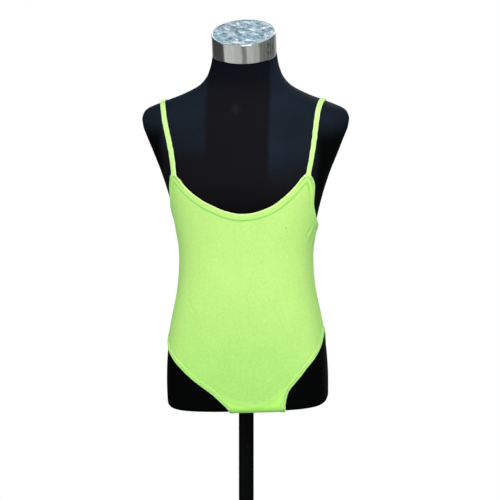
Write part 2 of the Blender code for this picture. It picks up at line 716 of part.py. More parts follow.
def leotard():
    leg_left = leg_line(LEG_LEFT_FRONT, LEG_LEFT_UNDER, LEG_LEFT_BACK, LEG_LEFT_HIP)
    leg_right = leg_line(LEG_RIGHT_FRONT, LEG_RIGHT_UNDER, LEG_RIGHT_BACK, LEG_RIGHT_HIP)
    corner = {name: peak_corner(name) for name in PEAKS}
    neck_front = open_edge(corner["front_left"], wall_points(NECK_FRONT), corner["front_right"])
    neck_back = open_edge(corner["back_left"], wall_points(NECK_BACK, back=True), corner["back_right"])
    arm_left = open_edge(corner["front_left"], side_points(ARM_LEFT), corner["back_left"])
    arm_right = open_edge(corner["front_right"], side_points(ARM_RIGHT), corner["back_right"])

    hip_height = 60 * mm
    side_left_low = where_angle(leg_left, SIDE_SEAM_LEFT, hip_height)
    side_right_low = where_angle(leg_right, SIDE_SEAM_RIGHT, hip_height)
    side_left_top = where_angle(arm_left, SIDE_SEAM_LEFT, 0)
    side_right_top = where_angle(arm_right, SIDE_SEAM_RIGHT, 0)

    crotch_front = line_through(wall_points(CROTCH_SEAM))
    front_left_end = nearest(leg_left, crotch_front[0])
    front_right_end = nearest(leg_right, crotch_front[-1])
    crotch_front[0] = leg_left[front_left_end]
    crotch_front[-1] = leg_right[front_right_end]

    back_left_end = nearest(leg_left, wall_points([(LEG_LEFT_BACK[0][0], BACK_SEAM_HEIGHT)], back=True)[0])
    back_right_end = nearest(leg_right, wall_points([(LEG_RIGHT_BACK[0][0], BACK_SEAM_HEIGHT)], back=True)[0])
    span = np.linspace(0, 1, 200)[:, None]
    crotch_back = settled(leg_left[back_left_end] * (1 - span) + leg_right[back_right_end] * span)

    # Every piece that meets an edge is made from the same stations along it.
    seam_front = stations(crotch_front, MIDDLE_STEPS)
    seam_back = stations(crotch_back, MIDDLE_STEPS)
    left_front = stations(run(leg_left, side_left_low, front_left_end), SIDE_STEPS)
    left_run = run(leg_left, front_left_end, back_left_end)
    left_under = under_stations(left_run)
    left_back = stations(run(leg_left, back_left_end, side_left_low), SIDE_STEPS)
    right_front = stations(run(leg_right, side_right_low, front_right_end), SIDE_STEPS)
    right_run = run(leg_right, front_right_end, back_right_end)
    right_under = under_stations(right_run)
    right_back = stations(run(leg_right, back_right_end, side_right_low), SIDE_STEPS)
    neck_front = stations(neck_front, MIDDLE_STEPS)
    neck_back = stations(neck_back, MIDDLE_STEPS)
    arm_left_front = stations(arm_left[: side_left_top + 1], SIDE_STEPS)
    arm_left_back = stations(arm_left[side_left_top:], SIDE_STEPS)
    arm_right_front = stations(arm_right[: side_right_top + 1], SIDE_STEPS)
    arm_right_back = stations(arm_right[side_right_top:], SIDE_STEPS)

    panel(
        "front_panel",
        joined(left_front, seam_front, right_front[::-1]),
        joined(arm_left_front[::-1], neck_front, arm_right_front),
        "front",
    )
    panel(
        "back_panel",
        joined(right_back[::-1], seam_back[::-1], left_back),
        joined(arm_right_back, neck_back[::-1], arm_left_back[::-1]),
        "back",
    )
    drop = np.array([0, 0, -1.4 * SEAM_GAP])
    gusset(
        stepped_in(left_under, left_run),
        stepped_in(right_under, right_run),
        settled(seam_front + drop),
        settled(seam_back + drop),
    )

    edge_binding("neck_binding_front", neck_front, ("front_left", "front_right"), 1, NECK_BINDING_WIDTH)
    edge_binding("neck_binding_back", neck_back, ("back_left", "back_right"), -1, NECK_BINDING_WIDTH)
    arm_left = joined(arm_left_front, arm_left_back)
    arm_right = joined(arm_right_front, arm_right_back)
    edge_binding("arm_binding_left", arm_left, ("front_left", "back_left"), -1, ARM_BINDING_WIDTH)
    edge_binding("arm_binding_right", arm_right, ("front_right", "back_right"), 1, ARM_BINDING_WIDTH)
    leg_binding("leg_binding_left", joined(left_front, left_under, left_back)[:-1], -1)
    leg_binding("leg_binding_right", joined(right_front, right_under, right_back)[:-1], 1)
    strap("strap_left", STRAP_LEFT, ("front_left", "back_left"))
    strap("strap_right", STRAP_RIGHT, ("front_right", "back_right"))


clear_scene()
stand()
dress_form()
neck_cap()
leotard()
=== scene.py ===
import bmesh
import bpy
import numpy as np
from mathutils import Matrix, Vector


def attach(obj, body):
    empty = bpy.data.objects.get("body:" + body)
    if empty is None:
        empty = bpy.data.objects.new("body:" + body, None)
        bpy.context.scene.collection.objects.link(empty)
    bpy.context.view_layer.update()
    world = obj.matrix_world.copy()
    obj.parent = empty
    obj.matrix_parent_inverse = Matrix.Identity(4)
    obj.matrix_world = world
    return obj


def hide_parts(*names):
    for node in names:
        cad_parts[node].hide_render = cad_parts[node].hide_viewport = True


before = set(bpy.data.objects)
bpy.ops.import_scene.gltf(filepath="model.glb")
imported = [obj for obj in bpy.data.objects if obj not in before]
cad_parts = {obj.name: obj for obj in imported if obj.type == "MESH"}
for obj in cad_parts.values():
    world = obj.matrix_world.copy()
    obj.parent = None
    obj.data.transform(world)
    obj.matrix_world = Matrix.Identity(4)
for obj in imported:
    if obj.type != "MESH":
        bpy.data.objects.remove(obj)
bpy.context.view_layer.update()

# A neon stretch leotard on a limbless dress form. Lengths are in metres, tables of places are
# in millimetres, and heights on the form start at its flat bottom.

mm = 0.001
scene = bpy.context.scene
scene.view_settings.view_transform = "Standard"
print("leotard: frame loaded,", len(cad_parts), "solids")

# The form's skin

form = {
    "sections": (  # height, half width, front, back, squareness
        (0, 117, 84, 84, 3.1), (43, 117.5, 85, 87, 3.0), (83, 115, 85, 88, 2.8), (128, 107, 84, 82, 2.6),
        (173, 98.5, 82, 73, 2.5), (223, 96, 79, 69, 2.5), (268, 102.5, 80, 74, 2.5), (316, 114.5, 82, 80, 2.4),
        (340, 122.5, 80, 81, 2.3), (363, 132, 75, 80, 2.2), (386, 141, 68, 77, 2.1), (409, 149.5, 59, 71, 2.1),
        (421, 150, 54, 67, 2.1), (433, 141, 49, 62, 2.1), (444, 113.5, 45, 57, 2.1), (453, 90.5, 43, 53, 2.0),
        (464, 69, 43, 48, 2.0), (476, 56.5, 45, 44, 2.0), (488, 51, 48, 41, 2.0), (511, 46, 53, 39, 2.0),
    ),
    "bottom": 400 * mm, "lean": np.radians(0.4), "leanPivot": 235 * mm, "edgeRadius": 8 * mm,
    "bottomTilt": np.radians(1.6), "bottomTiltReach": 140 * mm, "bottomShift": 1.5 * mm,
    "neckTiltStarts": 466 * mm, "neckTop": 511 * mm, "neckTilt": np.radians(15.5), "neckRoll": np.radians(-0.4),
    "neckLean": -7 * mm, "spokes": 160, "rowStep": 6 * mm, "unevenness": 0.16 * mm,
}
sectionTable = np.array(form["sections"], float)
sectionHeights = sectionTable[:, 0] * mm
sectionShapes = sectionTable[:, 1:] * np.array([mm, mm, mm, 1])


def hermite(at, knots, values):
    steps = np.diff(knots)
    slopes = np.diff(values, axis=0) / steps[:, None]
    inner = (slopes[:-1] * steps[1:, None] + slopes[1:] * steps[:-1, None]) / (steps[:-1] + steps[1:])[:, None]
    rates = np.vstack([slopes[:1], inner, slopes[-1:]])
    at = np.clip(at, knots[0], knots[-1])
    i = np.clip(np.searchsorted(knots, at, side="right") - 1, 0, len(knots) - 2)
    t = ((at - knots[i]) / steps[i])[:, None]
    h = steps[i][:, None]
    start = (2 * t**3 - 3 * t**2 + 1) * values[i] + (t**3 - 2 * t**2 + t) * h * rates[i]
    return start + (3 * t**2 - 2 * t**3) * values[i + 1] + (t**3 - t**2) * h * rates[i + 1]


def fullness(points):  # 1 on the form's wall, less inside and more outside
    shape = hermite(points[:, 2], sectionHeights, sectionShapes)
    depth = np.where(points[:, 1] < 0, shape[:, 1], shape[:, 2])
    square = shape[:, 3]
    wide = np.abs(points[:, 0] / shape[:, 0]) ** square
    deep = np.abs(points[:, 1] / depth) ** square
    return (wide + deep + 1e-12) ** (1 / square)


def slopeOf(measure, points, probe=0.05 * mm):
    sides = [(measure(points + nudge) - measure(points - nudge)) / (2 * probe) for nudge in np.eye(3) * probe]
    return np.stack(sides, axis=1)


def gapTo(points):  # distance outwards from the skin, whose bottom edge is rounded
    steepness = np.linalg.norm(slopeOf(fullness, points), axis=1)
    edge = form["edgeRadius"]
    beside = (fullness(points) - 1) / np.maximum(steepness, 1e-3) + edge
    below = edge - points[:, 2]
    corner = np.hypot(np.maximum(beside, 0), np.maximum(below, 0))
    return np.minimum(np.maximum(beside, below), 0) + corner - edge


def outward(points):
    slope = slopeOf(gapTo, points)
    return slope / np.maximum(np.linalg.norm(slope, axis=1), 1e-9)[:, None]


def settled(points, rounds=5):  # moves points to the nearest place on the skin
    points = np.array(points, float)
    for _ in range(rounds):
        points = points - gapTo(points)[:, None] * outward(points)
    return points


def angleOf(points):  # 0 at the front, 90 at the +X side
    return np.degrees(np.arctan2(points[:, 0], -points[:, 1]))


def spokes(turn):  # unit steps outwards, from the front round towards +X
    return np.stack([np.sin(turn), -np.cos(turn), np.zeros_like(turn)], axis=1)


def roundPoints(degrees, heights):
    turn = np.radians(np.asarray(degrees, float))
    heights = np.broadcast_to(np.asarray(heights, float), turn.shape)
    ray = spokes(turn) * mm
    ray[:, 2] = heights
    scale = 1 / fullness(ray)
    return np.stack([ray[:, 0] * scale, ray[:, 1] * scale, heights], axis=1)


def bottomShare(height):  # 1 at the form's bottom, less and less up the form
    return (1 - np.clip(height / form["bottomTiltReach"], 0, 1)) ** 2


def wallPoints(rows, back=False):
    x, height = np.asarray(rows, float).T * mm
    x = x - form["bottomShift"] * bottomShare(height)
    shape = hermite(height, sectionHeights, sectionShapes)
    depth = shape[:, 2] if back else -shape[:, 1]
    share = 1 - np.abs(x / shape[:, 0]) ** shape[:, 3]
    return np.stack([x, depth * share ** (1 / shape[:, 3]), height], axis=1)


def sidePoints(rows):
    degrees, height = np.asarray(rows, float).T
    return roundPoints(degrees, height * mm)


def onStand(points):  # from the form's own upright frame to where it sits on its pole
    x, y, z = np.moveaxis(np.asarray(points), -1, 0)
    crooked = x * np.tan(form["bottomTilt"]) * bottomShare(z)
    up, lean = z + crooked - form["leanPivot"], form["lean"]
    x = x + form["bottomShift"] * bottomShare(z)
    across = x * np.cos(lean) - up * np.sin(lean)
    height = x * np.sin(lean) + up * np.cos(lean)
    return np.stack([across, y, height + form["leanPivot"] + form["bottom"]], axis=-1)


def softNoise(points, size, seed, waves=14):  # smooth bumps between about -1 and 1
    draw = np.random.RandomState(seed)
    total = np.zeros(len(points))
    for _ in range(waves):
        way = draw.normal(size=3)
        way *= 2 * np.pi / (size * draw.uniform(0.7, 1.5) * np.linalg.norm(way))
        total += np.sin(points @ way + draw.uniform(0, 2 * np.pi))
    return total * (2 / waves) ** 0.5 * 0.7


# Lines on the skin


def lengthsAlong(points):
    return np.concatenate([[0], np.cumsum(np.linalg.norm(np.diff(points, axis=0), axis=1))])


def picked(points, along, count):
    even = np.linspace(0, along[-1], count)
    return np.stack([np.interp(even, along, points[:, k]) for k in range(points.shape[1])], axis=1)


def lineThrough(points, closed=False, step=0.5 * mm):
    points = np.asarray(points, float)
    wrap = 3 if closed else 0
    if closed:
        points = np.vstack([points[-wrap:], points, points[:wrap]])
    knots = lengthsAlong(points)
    low, high = knots[wrap], knots[-wrap] if closed else knots[-1]
    at = np.linspace(low, high, max(int((high - low) / step), 2))
    line = settled(hermite(at, knots, points))
    along = lengthsAlong(line)
    return picked(line, along, max(int(along[-1] / step), 2))


def stations(line, steps, bendLength=16 * mm):  # shorter steps where the skin bends
    bends = np.linalg.norm(np.diff(outward(line), axis=0), axis=1)
    along = lengthsAlong(line)
    along[1:] += np.cumsum(bends) * bendLength
    return picked(line, along, steps + 1)


def evenSteps(line, step):
    along = lengthsAlong(line)
    return picked(line, along, max(int(along[-1] / step), 2) + 1)


def nearest(line, point):
    return int(np.argmin(np.linalg.norm(line - point, axis=1)))


def whereAngle(line, degrees, low):
    away = np.abs(angleOf(line) - degrees) + np.where(line[:, 2] < low, 1e3, 0)
    return int(np.argmin(away))


def shorterWay(line, start, end):  # a stretch of a closed line
    count = len(line)
    forward = (end - start) % count
    if forward <= count - forward:
        return line[(start + np.arange(forward + 1)) % count]
    return line[(start - np.arange(count - forward + 1)) % count]


def joined(*runs):
    return np.vstack([runs[0]] + [run[1:] for run in runs[1:]])


def smoothStep(x):
    x = np.clip(x, 0, 1)
    return x * x * (3 - 2 * x)


def near(away, width, depth=1.0):  # the depth at no distance, fading within the width
    return depth * np.exp(-((away / width) ** 2))


def groove(at, place, width, depth):
    return near(at - place, width, depth)


def waves(length, draw, count, low, high):  # gentle puckers along a strip, low to high mm long
    sines = (np.sin(length * 2 * np.pi / (draw.uniform(low, high) * mm) + draw.uniform(0, 6)) for _ in range(count))
    return sum(sines) / 2


# Meshes


def linked(name, data):
    thing = bpy.data.objects.new(name, data)
    scene.collection.objects.link(thing)
    return thing


def gridFaces(rows, columns, start=0, wrap=False):
    r, c = np.meshgrid(np.arange(rows - 1), np.arange(columns if wrap else columns - 1), indexing="ij")
    a = start + r * columns + c
    b = start + r * columns + (c + 1) % columns
    return np.stack([a, b, b + columns, a + columns], axis=-1).reshape(-1, 4)


def closedEnds(rings, count):  # a flat face over the first ring and one over the last
    return [list(range(count)), [(rings - 1) * count + k for k in range(count)]]


def makePiece(name, places, faces, material, uv=None, tone=None, corners=None):
    mesh = bpy.data.meshes.new(name)
    mesh.from_pydata([tuple(p) for p in places], [], [tuple(int(v) for v in f) for f in faces])
    if uv is not None or corners is not None:
        layer = mesh.uv_layers.new(name="cloth")
        if corners is None:
            index = np.empty(len(mesh.loops), int)
            mesh.loops.foreach_get("vertex_index", index)
            corners = np.asarray(uv)[index]
        layer.data.foreach_set("uv", np.asarray(corners, float).ravel())
    if tone is not None:
        mesh.attributes.new("tone", "FLOAT", "POINT").data.foreach_set("value", np.asarray(tone, float))
    bm = bmesh.new()
    bm.from_mesh(mesh)
    bmesh.ops.recalc_face_normals(bm, faces=bm.faces)
    bm.to_mesh(mesh)
    bm.free()
    mesh.shade_smooth()
    return finishPiece(linked(name, mesh), material)


def finishPiece(piece, material):
    piece.data.materials.clear()
    piece.data.materials.append(material)
    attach(piece, "root")
    return piece


def lathe(name, profile, material, segments=128):  # a closed ring of (radius, height) rows round Z
    profile = np.asarray(profile, float)
    turn = np.linspace(0, 2 * np.pi, segments + 1)[:-1]
    r, z = profile[:, 0][:, None], np.broadcast_to(profile[:, 1][:, None], (len(profile), segments))
    places = np.stack([r * np.cos(turn), r * np.sin(turn), z], axis=-1).reshape(-1, 3)
    faces = gridFaces(len(profile), segments, wrap=True)
    last = (len(profile) - 1) * segments
    k = np.arange(segments)
    closing = np.stack([last + k, last + (k + 1) % segments, (k + 1) % segments, k], axis=1)
    return makePiece(name, places, np.vstack([faces, closing]), material)


# Shader maths


class Value:  # a node's output that Python's own operators work on
    def __init__(self, maker, socket):
        self.maker, self.socket = maker, socket

    def math(self, operation, *values):
        return self.maker.make("ShaderNodeMath", {"operation": operation}, values)

    def __add__(self, other):
        return self.math("ADD", self, other)

    def __sub__(self, other):
        return self.math("SUBTRACT", self, other)

    def __rsub__(self, other):
        return self.math("SUBTRACT", other, self)

    def __mul__(self, other):
        return self.math("MULTIPLY", self, other)

    def __truediv__(self, other):
        return self.math("DIVIDE", self, other)

    def __abs__(self):
        return self.math("ABSOLUTE", self)

    __radd__ = __add__
    __rmul__ = __mul__


def setStops(ramp, stops):
    while len(ramp) < len(stops):
        ramp.new(0.5)
    for stop, (place, colour) in zip(ramp, stops):
        stop.position, stop.color = place, colour


class Shader:
    def __init__(self, name):
        self.material = bpy.data.materials.new(name)
        self.material.use_nodes = True
        self.tree = self.material.node_tree
        self.tree.nodes.clear()

    def make(self, kind, settings=None, inputs=(), output=0):
        node = self.tree.nodes.new(kind)
        for key, value in (settings or {}).items():
            if key == "stops":
                setStops(node.color_ramp.elements, value)
            else:
                setattr(node, key, value)
        for key, value in inputs.items() if isinstance(inputs, dict) else enumerate(inputs):
            if isinstance(value, Value):
                self.tree.links.new(value.socket, node.inputs[key])
            else:
                node.inputs[key].default_value = value
        return Value(self, node.outputs[output])

    def mixed(self, share, first, second, blend="MIX"):  # colours
        kind = {"data_type": "RGBA", "blend_type": blend}
        return self.make("ShaderNodeMix", kind, {0: share, 6: first, 7: second}, 2)

    def multiplied(self, colour, by):
        return self.mixed(1.0, colour, by, "MULTIPLY")

    def ranged(self, value, low, high, to=(0.0, 1.0), soft=True):
        kind = {"interpolation_type": "SMOOTHSTEP" if soft else "LINEAR"}
        return self.make("ShaderNodeMapRange", kind, (value, low, high, to[0], to[1]))

    def place(self):
        return self.make("ShaderNodeTexCoord", output=3)

    def mapped(self, where, settings=None, **sockets):  # a pattern's place, moved, turned or stretched
        return self.make("ShaderNodeMapping", settings, {"Vector": where, **sockets})

    def distance(self, where, spot):
        return self.make("ShaderNodeVectorMath", {"operation": "DISTANCE"}, {0: where, 1: spot}, 1)

    def noise(self, where, scale, detail=2.0, roughness=0.5):
        sizes = {"Vector": where, "Scale": scale, "Detail": detail, "Roughness": roughness}
        return self.make("ShaderNodeTexNoise", None, sizes, 0)

    def apart(self, vector):
        node = self.make("ShaderNodeSeparateXYZ", None, (vector,)).socket.node
        return [Value(self, out) for out in node.outputs]

    def bump(self, height, strength, distance, normal=None):
        sockets = {"Height": height, "Strength": strength, "Distance": distance}
        if normal is not None:
            sockets["Normal"] = normal
        return self.make("ShaderNodeBump", None, sockets)

    def output(self, surface):
        out = self.tree.nodes.new("ShaderNodeOutputMaterial")
        self.tree.links.new(surface.socket, out.inputs[0])
        return self.material

    def finish(self, **sockets):
        named = {key.replace("_", " "): value for key, value in sockets.items()}
        return self.output(self.make("ShaderNodeBsdfPrincipled", None, named))


jersey = {
    # the strap's paler colour is painted sheen
    "body": (0.570, 0.800, 0.195, 1), "binding": (0.580, 0.828, 0.196, 1), "strap": (0.585, 0.826, 0.240, 1),
    "glow": (0.0, 0.125, 0.042, 1),  # painted light: a constant green emission, lit or not, standing in for the dye's fluorescence and keeping shaded cloth green
    "gussetPaintedLight": (0.670, 0.890, 0.192, 1), "gussetPaintedGlow": (0.0, 0.190, 0.034, 1),  # painted light: a brighter colour and stronger glow for the down-facing gusset, which the lamps leave darker
    "light": (0.82, 0.93, 0.38, 1), "dark": (0.21, 0.58, 0.03, 1),  # painted highlight on the cloth's upstanding edges, painted shade in seam grooves and creases
    "lowerPaintedShade": (0.87, 1.0, 0.84, 1),  # painted shade: red and blue dimmed, so greener and darker, lower down towards the legs
    "walePitch": 0.9 * mm, "coursePitch": 0.7 * mm, "grainSize": 2.3 * mm, "grain": 0.13, "mottle": 0.05,
    "mark": (0.0633, -0.071, 0.6666), "markSize": 1.5 * mm, "markColour": (0.40, 0.55, 0.13, 1),
}


def knitHeight(shader, walePitch, coursePitch):  # little V loops in columns, 0 to 1
    uv = shader.make("ShaderNodeUVMap", {"uv_map": "cloth"})
    u, v, _ = shader.apart(uv)
    wale = u / walePitch
    slant = abs(wale.math("FRACT", wale) - 0.5) * 0.9
    rib = abs(wale.math("SINE", wale * np.pi))
    loop = wale.math("SINE", (v / coursePitch + slant) * (2 * np.pi)) * 0.3 + 0.7
    return rib * loop


def clothMaterial(name, colour, glow=jersey["glow"]):
    shader = Shader(name)
    place = shader.place()
    grain = shader.noise(place, 1 / jersey["grainSize"], 2.0, 0.6)
    mottle = shader.noise(place, 34.0, 3.0, 0.55)
    x, _, z = shader.apart(place)
    middle = shader.ranged(x * x, 0.0100, 0.0055)  # not at the hips' sides
    # painted shade: the cloth turns greener and darker below the waist, where less light falls, but not at the hips'
    # sides
    deep = shader.mixed(shader.ranged(z, 0.60, 0.44) * middle, (1, 1, 1, 1), jersey["lowerPaintedShade"])
    level = 1 + (grain - 0.5) * (2 * jersey["grain"]) + (mottle - 0.5) * (2 * jersey["mottle"])
    # painted light per point: above 0 a painted highlight, below 0 painted shade
    tone = shader.make("ShaderNodeAttribute", {"attribute_name": "tone"}, (), 2)
    plain = shader.make("ShaderNodeVectorMath", {"operation": "SCALE"}, {0: colour[:3], 3: level})
    plain = shader.multiplied(plain, deep)
    withPaintedHighlights = shader.mixed(shader.ranged(tone, 0.0, 1.0, soft=False), plain, jersey["light"])
    withPaintedShade = shader.mixed(shader.ranged(tone, 0.0, -1.0, soft=False), withPaintedHighlights, jersey["dark"])
    around = shader.mapped(
        place, {"vector_type": "TEXTURE"}, Location=jersey["mark"], Rotation=(0.0, 0.55, 0.0), Scale=(1.0, 1.0, 2.2),
    )
    away = shader.make("ShaderNodeVectorMath", {"operation": "LENGTH"}, {0: around}, 1)
    spot = shader.ranged(away + (grain - 0.5) * (1.2 * mm), jersey["markSize"], 0.3 * jersey["markSize"])
    withPaintedShade = shader.mixed(spot * 0.8, withPaintedShade, jersey["markColour"])
    knit = knitHeight(shader, jersey["walePitch"], jersey["coursePitch"])
    weave = shader.bump(knit, 0.35, 0.12 * mm)
    fuzz = shader.bump(grain, 0.5, 0.25 * mm, weave)
    return shader.finish(
        Base_Color=withPaintedShade, Roughness=shader.ranged(mottle, 0.2, 0.8, (0.66, 0.78)), Normal=fuzz,
        # painted light: the constant green emission glows the same in light and in shade
        Specular_IOR_Level=0.25, Emission_Color=glow, Emission_Strength=1.0,
    )


def threadMaterial():
    shader = Shader("jersey_thread")
    twist = shader.noise(shader.place(), 2600.0, 1.0)
    colour = shader.mixed(shader.ranged(twist, 0.3, 0.7), (0.56, 0.80, 0.19, 1), (0.72, 0.90, 0.32, 1))
    return shader.finish(
        Base_Color=colour, Roughness=shader.ranged(twist, 0.3, 0.7, (0.5, 0.65)),
        Normal=shader.bump(twist, 0.3, 0.05 * mm), Specular_IOR_Level=0.3,
        # painted light: the same constant green emission as the cloth
        Emission_Color=jersey["glow"], Emission_Strength=1.0,
    )


blacks = {  # the form's cover
    # painted light: chest and neck lighter than the hips, the neck bluish, for light and sky reflection on the upper
    # form
    "hips": (0.0011, 0.0013, 0.0014, 1), "chest": (0.0070, 0.0066, 0.0088, 1), "neck": (0.0042, 0.0050, 0.0086, 1),
    "shoulders": (0.0100, 0.0185, 0.0300, 1),  # painted sheen: bluish on both shoulders
    "smudge": (-0.010, -0.056, 0.838), "smudgeColour": (0.030, 0.029, 0.028, 1), "lintColour": (0.30, 0.31, 0.31, 1),
    "lint": (  # place and size
        ((0.0870, -0.076, 0.4165), 0.0009), ((0.0955, -0.074, 0.4170), 0.0007), ((0.1020, -0.072, 0.4160), 0.0011),
    ),
}


def formMaterial():
    shader = Shader("black_form_jersey")
    place = shader.place()
    x, _, z = shader.apart(place)
    cloud = shader.noise(place, 9.0, 3.0, 0.6)
    fine = shader.noise(place, 700.0, 2.0, 0.6)
    # painted light: the black gets lighter up the form and bluish at the neck
    colour = shader.mixed(shader.ranged(z, 0.66, 0.74), blacks["hips"], blacks["chest"])
    colour = shader.mixed(shader.ranged(z, 0.84, 0.90), colour, blacks["neck"])
    # painted sheen: bluish patches on the shoulders, weaker on the left, held off their outer sides, which go back to
    # the hips' black
    left = shader.ranged(x, -0.050, -0.058) * shader.ranged(z, 0.755, 0.800) * 0.65
    right = shader.ranged(x, 0.034, 0.042) * shader.ranged(z, 0.715, 0.790)
    outer = (shader.ranged(x, 0.098, 0.112) + shader.ranged(x, -0.112, -0.126)) * shader.ranged(z, 0.825, 0.785)
    colour = shader.mixed(outer, colour, blacks["hips"])
    sheen = (left + right) * (1.0 - outer) * shader.ranged(cloud, 0.25, 0.60, (0.45, 1.0))
    colour = shader.mixed(sheen, colour, blacks["shoulders"])
    colour = shader.mixed(shader.ranged(fine, 0.55, 0.85) * 0.35, colour, shader.multiplied(colour, (3, 3, 3, 1)))
    away = shader.distance(place, blacks["smudge"]) + (cloud - 0.5) * (16 * mm)
    colour = shader.mixed(shader.ranged(away, 12 * mm, 2 * mm) * 0.5, colour, blacks["smudgeColour"])
    for spot, size in blacks["lint"]:
        away = shader.distance(place, spot)
        colour = shader.mixed(shader.ranged(away, size, size * 0.4), colour, blacks["lintColour"])
    weave = shader.bump(knitHeight(shader, 0.8 * mm, 0.65 * mm), 0.35, 0.12 * mm)
    return shader.finish(
        Base_Color=colour, Roughness=shader.ranged(cloud, 0.3, 0.7, (0.72, 0.88)),
        Normal=shader.bump(fine, 0.4, 0.2 * mm, weave), Specular_IOR_Level=0.03,
    )


def capMaterial():
    shader = Shader("cap_chrome")
    place = shader.place()
    upright = shader.mapped(place, Rotation=(-0.314, 0.0, 0.0))  # as the cap leans
    stretchedUp = shader.mapped(upright, Scale=(1.0, 1.0, 0.02))
    lines = shader.noise(stretchedUp, 420.0, 3.0, 0.6)
    streakReflections = shader.noise(stretchedUp, 300.0, 3.0, 0.65)
    stains = shader.noise(place, 55.0, 4.0, 0.6)
    colour = shader.mixed(shader.ranged(stains, 0.35, 0.75), (0.76, 0.775, 0.735, 1), (0.70, 0.72, 0.69, 1))
    # painted reflection: darker vertical bands in the chrome's colour, as reflections in the band
    colour = shader.mixed(shader.ranged(streakReflections, 0.50, 0.72) * 0.7, colour, (0.42, 0.44, 0.43, 1))
    return shader.finish(
        Base_Color=colour, Metallic=1.0, Roughness=shader.ranged(lines, 0.3, 0.8, (0.10, 0.24)),
        Normal=shader.bump(lines, 0.25, 0.12 * mm),
    )


def filmMaterial():
    shader = Shader("cap_film")
    place = shader.place()
    warp = shader.noise(place, 90.0, 3.0, 0.55)
    shift = {0: warp, 1: (0.012, 0.009, 0.0), 2: place}
    bent = shader.make("ShaderNodeVectorMath", {"operation": "MULTIPLY_ADD"}, shift)
    cloud = shader.noise(bent, 80.0, 5.0, 0.66)
    glintSpots = shader.noise(bent, 190.0, 3.0, 0.65)
    # painted reflection: blue-grey clouding with dark teal blotches, the sky reflected in the crinkled clear film
    stops = (
        (0.33, (0.05, 0.10, 0.14, 1)), (0.45, (0.17, 0.27, 0.34, 1)),
        (0.55, (0.31, 0.41, 0.49, 1)), (0.68, (0.60, 0.70, 0.78, 1)),
    )
    colour = shader.make("ShaderNodeValToRGB", {"stops": stops}, (cloud,))
    hue = shader.noise(place, 24.0, 2.0, 0.5)
    tint = shader.mixed(shader.ranged(hue, 0.38, 0.62), (0.64, 1.0, 1.04, 1), (0.99, 0.99, 1.03, 1))
    colour = shader.multiplied(colour, tint)
    # painted glints: white spots where the crinkles would catch the light
    bright = shader.mixed(shader.ranged(glintSpots, 0.62, 0.70), colour, (1.0, 1.0, 1.0, 1))
    return shader.finish(
        Base_Color=bright, Roughness=shader.ranged(cloud, 0.3, 0.7, (0.46, 0.28)), Specular_IOR_Level=0.35,
        Normal=shader.bump(cloud, 0.4, 0.6 * mm),
    )


def paintMaterial():
    shader = Shader("black_stand_paint")
    place = shader.place()
    peel = shader.noise(place, 420.0, 2.0, 0.5)
    drawn = shader.mapped(place, Scale=(1.0, 1.0, 0.18))
    scratch = shader.noise(drawn, 320.0, 3.0, 0.65)
    patch = shader.noise(place, 26.0, 2.0, 0.5)
    worn = shader.ranged(scratch, 0.66, 0.72) * shader.ranged(patch, 0.52, 0.64)
    colour = shader.mixed(worn, (0.0010, 0.0011, 0.0013, 1), (0.085, 0.083, 0.078, 1))
    return shader.finish(
        Base_Color=colour, Roughness=shader.ranged(peel, 0.3, 0.7, (0.42, 0.54)) + worn * 0.2,
        Normal=shader.bump(peel, 0.25, 0.15 * mm), Specular_IOR_Level=0.06,
    )


materials = {
    "cloth": clothMaterial("neon_jersey", jersey["body"]),
    "binding": clothMaterial("neon_binding_jersey", jersey["binding"]),
    "strap": clothMaterial("neon_strap_jersey", jersey["strap"]),
    # painted light: the gusset's brighter colour and glow
    "gusset": clothMaterial("neon_gusset_jersey", jersey["gussetPaintedLight"], jersey["gussetPaintedGlow"]),
    "thread": threadMaterial(),
    "form": formMaterial(),
    "cap": capMaterial(),
    "film": filmMaterial(),
    "paint": paintMaterial(),
}
print("leotard: materials ready")

# Camera, lights, floor and backdrop

view = {"target": (0.0055, 0, 0.625), "azimuth": 5, "elevation": 7.5, "distance": 3.6, "lens": 177.55, "sensor": 36}


def addCamera():
    camera = linked("camera", bpy.data.cameras.new("camera"))
    turn, rise = np.radians(view["azimuth"]), np.radians(view["elevation"])
    way = Vector((np.sin(turn) * np.cos(rise), -np.cos(turn) * np.cos(rise), np.sin(rise)))
    camera.location = Vector(view["target"]) + way * view["distance"]
    camera.rotation_euler = (-way).to_track_quat("-Z", "Y").to_euler()
    camera.data.lens, camera.data.sensor_width = view["lens"], view["sensor"]
    camera.data.clip_end = 200
    scene.camera = camera


lamps = {  # place, aimed at, size, watts, colour
    "front": ((0.3, -1.3, 1.5), (0, 0, 0.68), 0.8, 16.5, (1.0, 1.0, 1.0)),
    "low": ((0.2, -2.6, 0.5), (0, 0, 0.68), 2.0, 13.5, (1.0, 1.0, 1.0)),
    "left": ((-2.6, -0.4, 1.0), (0, 0, 0.68), 1.6, 22, (1.0, 1.0, 1.0)),
    "right": ((2.6, -0.4, 1.0), (0, 0, 0.68), 1.6, 11, (1.0, 1.0, 1.0)),
    "behind": ((0.4, 2.4, 2.2), (0, 0, 0.70), 2.0, 42, (0.97, 0.99, 1.0)),
}
room = {
    "sky": (  # from straight down to straight up
        (0.0, (0.85, 0.86, 0.86, 1)), (0.40, (0.50, 0.52, 0.53, 1)),
        (0.62, (0.60, 0.63, 0.66, 1)), (1.0, (0.92, 0.97, 1.0, 1)),
    ),
    "skyStrength": 0.32, "backdropRadius": 30, "floorRadius": 0.95,
    "ringRadius": 6, "ringFoot": -9, "ringTop": 5,
    # azimuth where a band ends, and how bright the band is that ends there
    "bands": ((-148, 0.34), (-82, 0.07), (-40, 0.62), (-6, 0.54), (15, 0.22), (48, 0.56), (72, 0.46), (106, 0.20),
              (120, 0.07), (150, 0.17), (180, 0.42)),
}


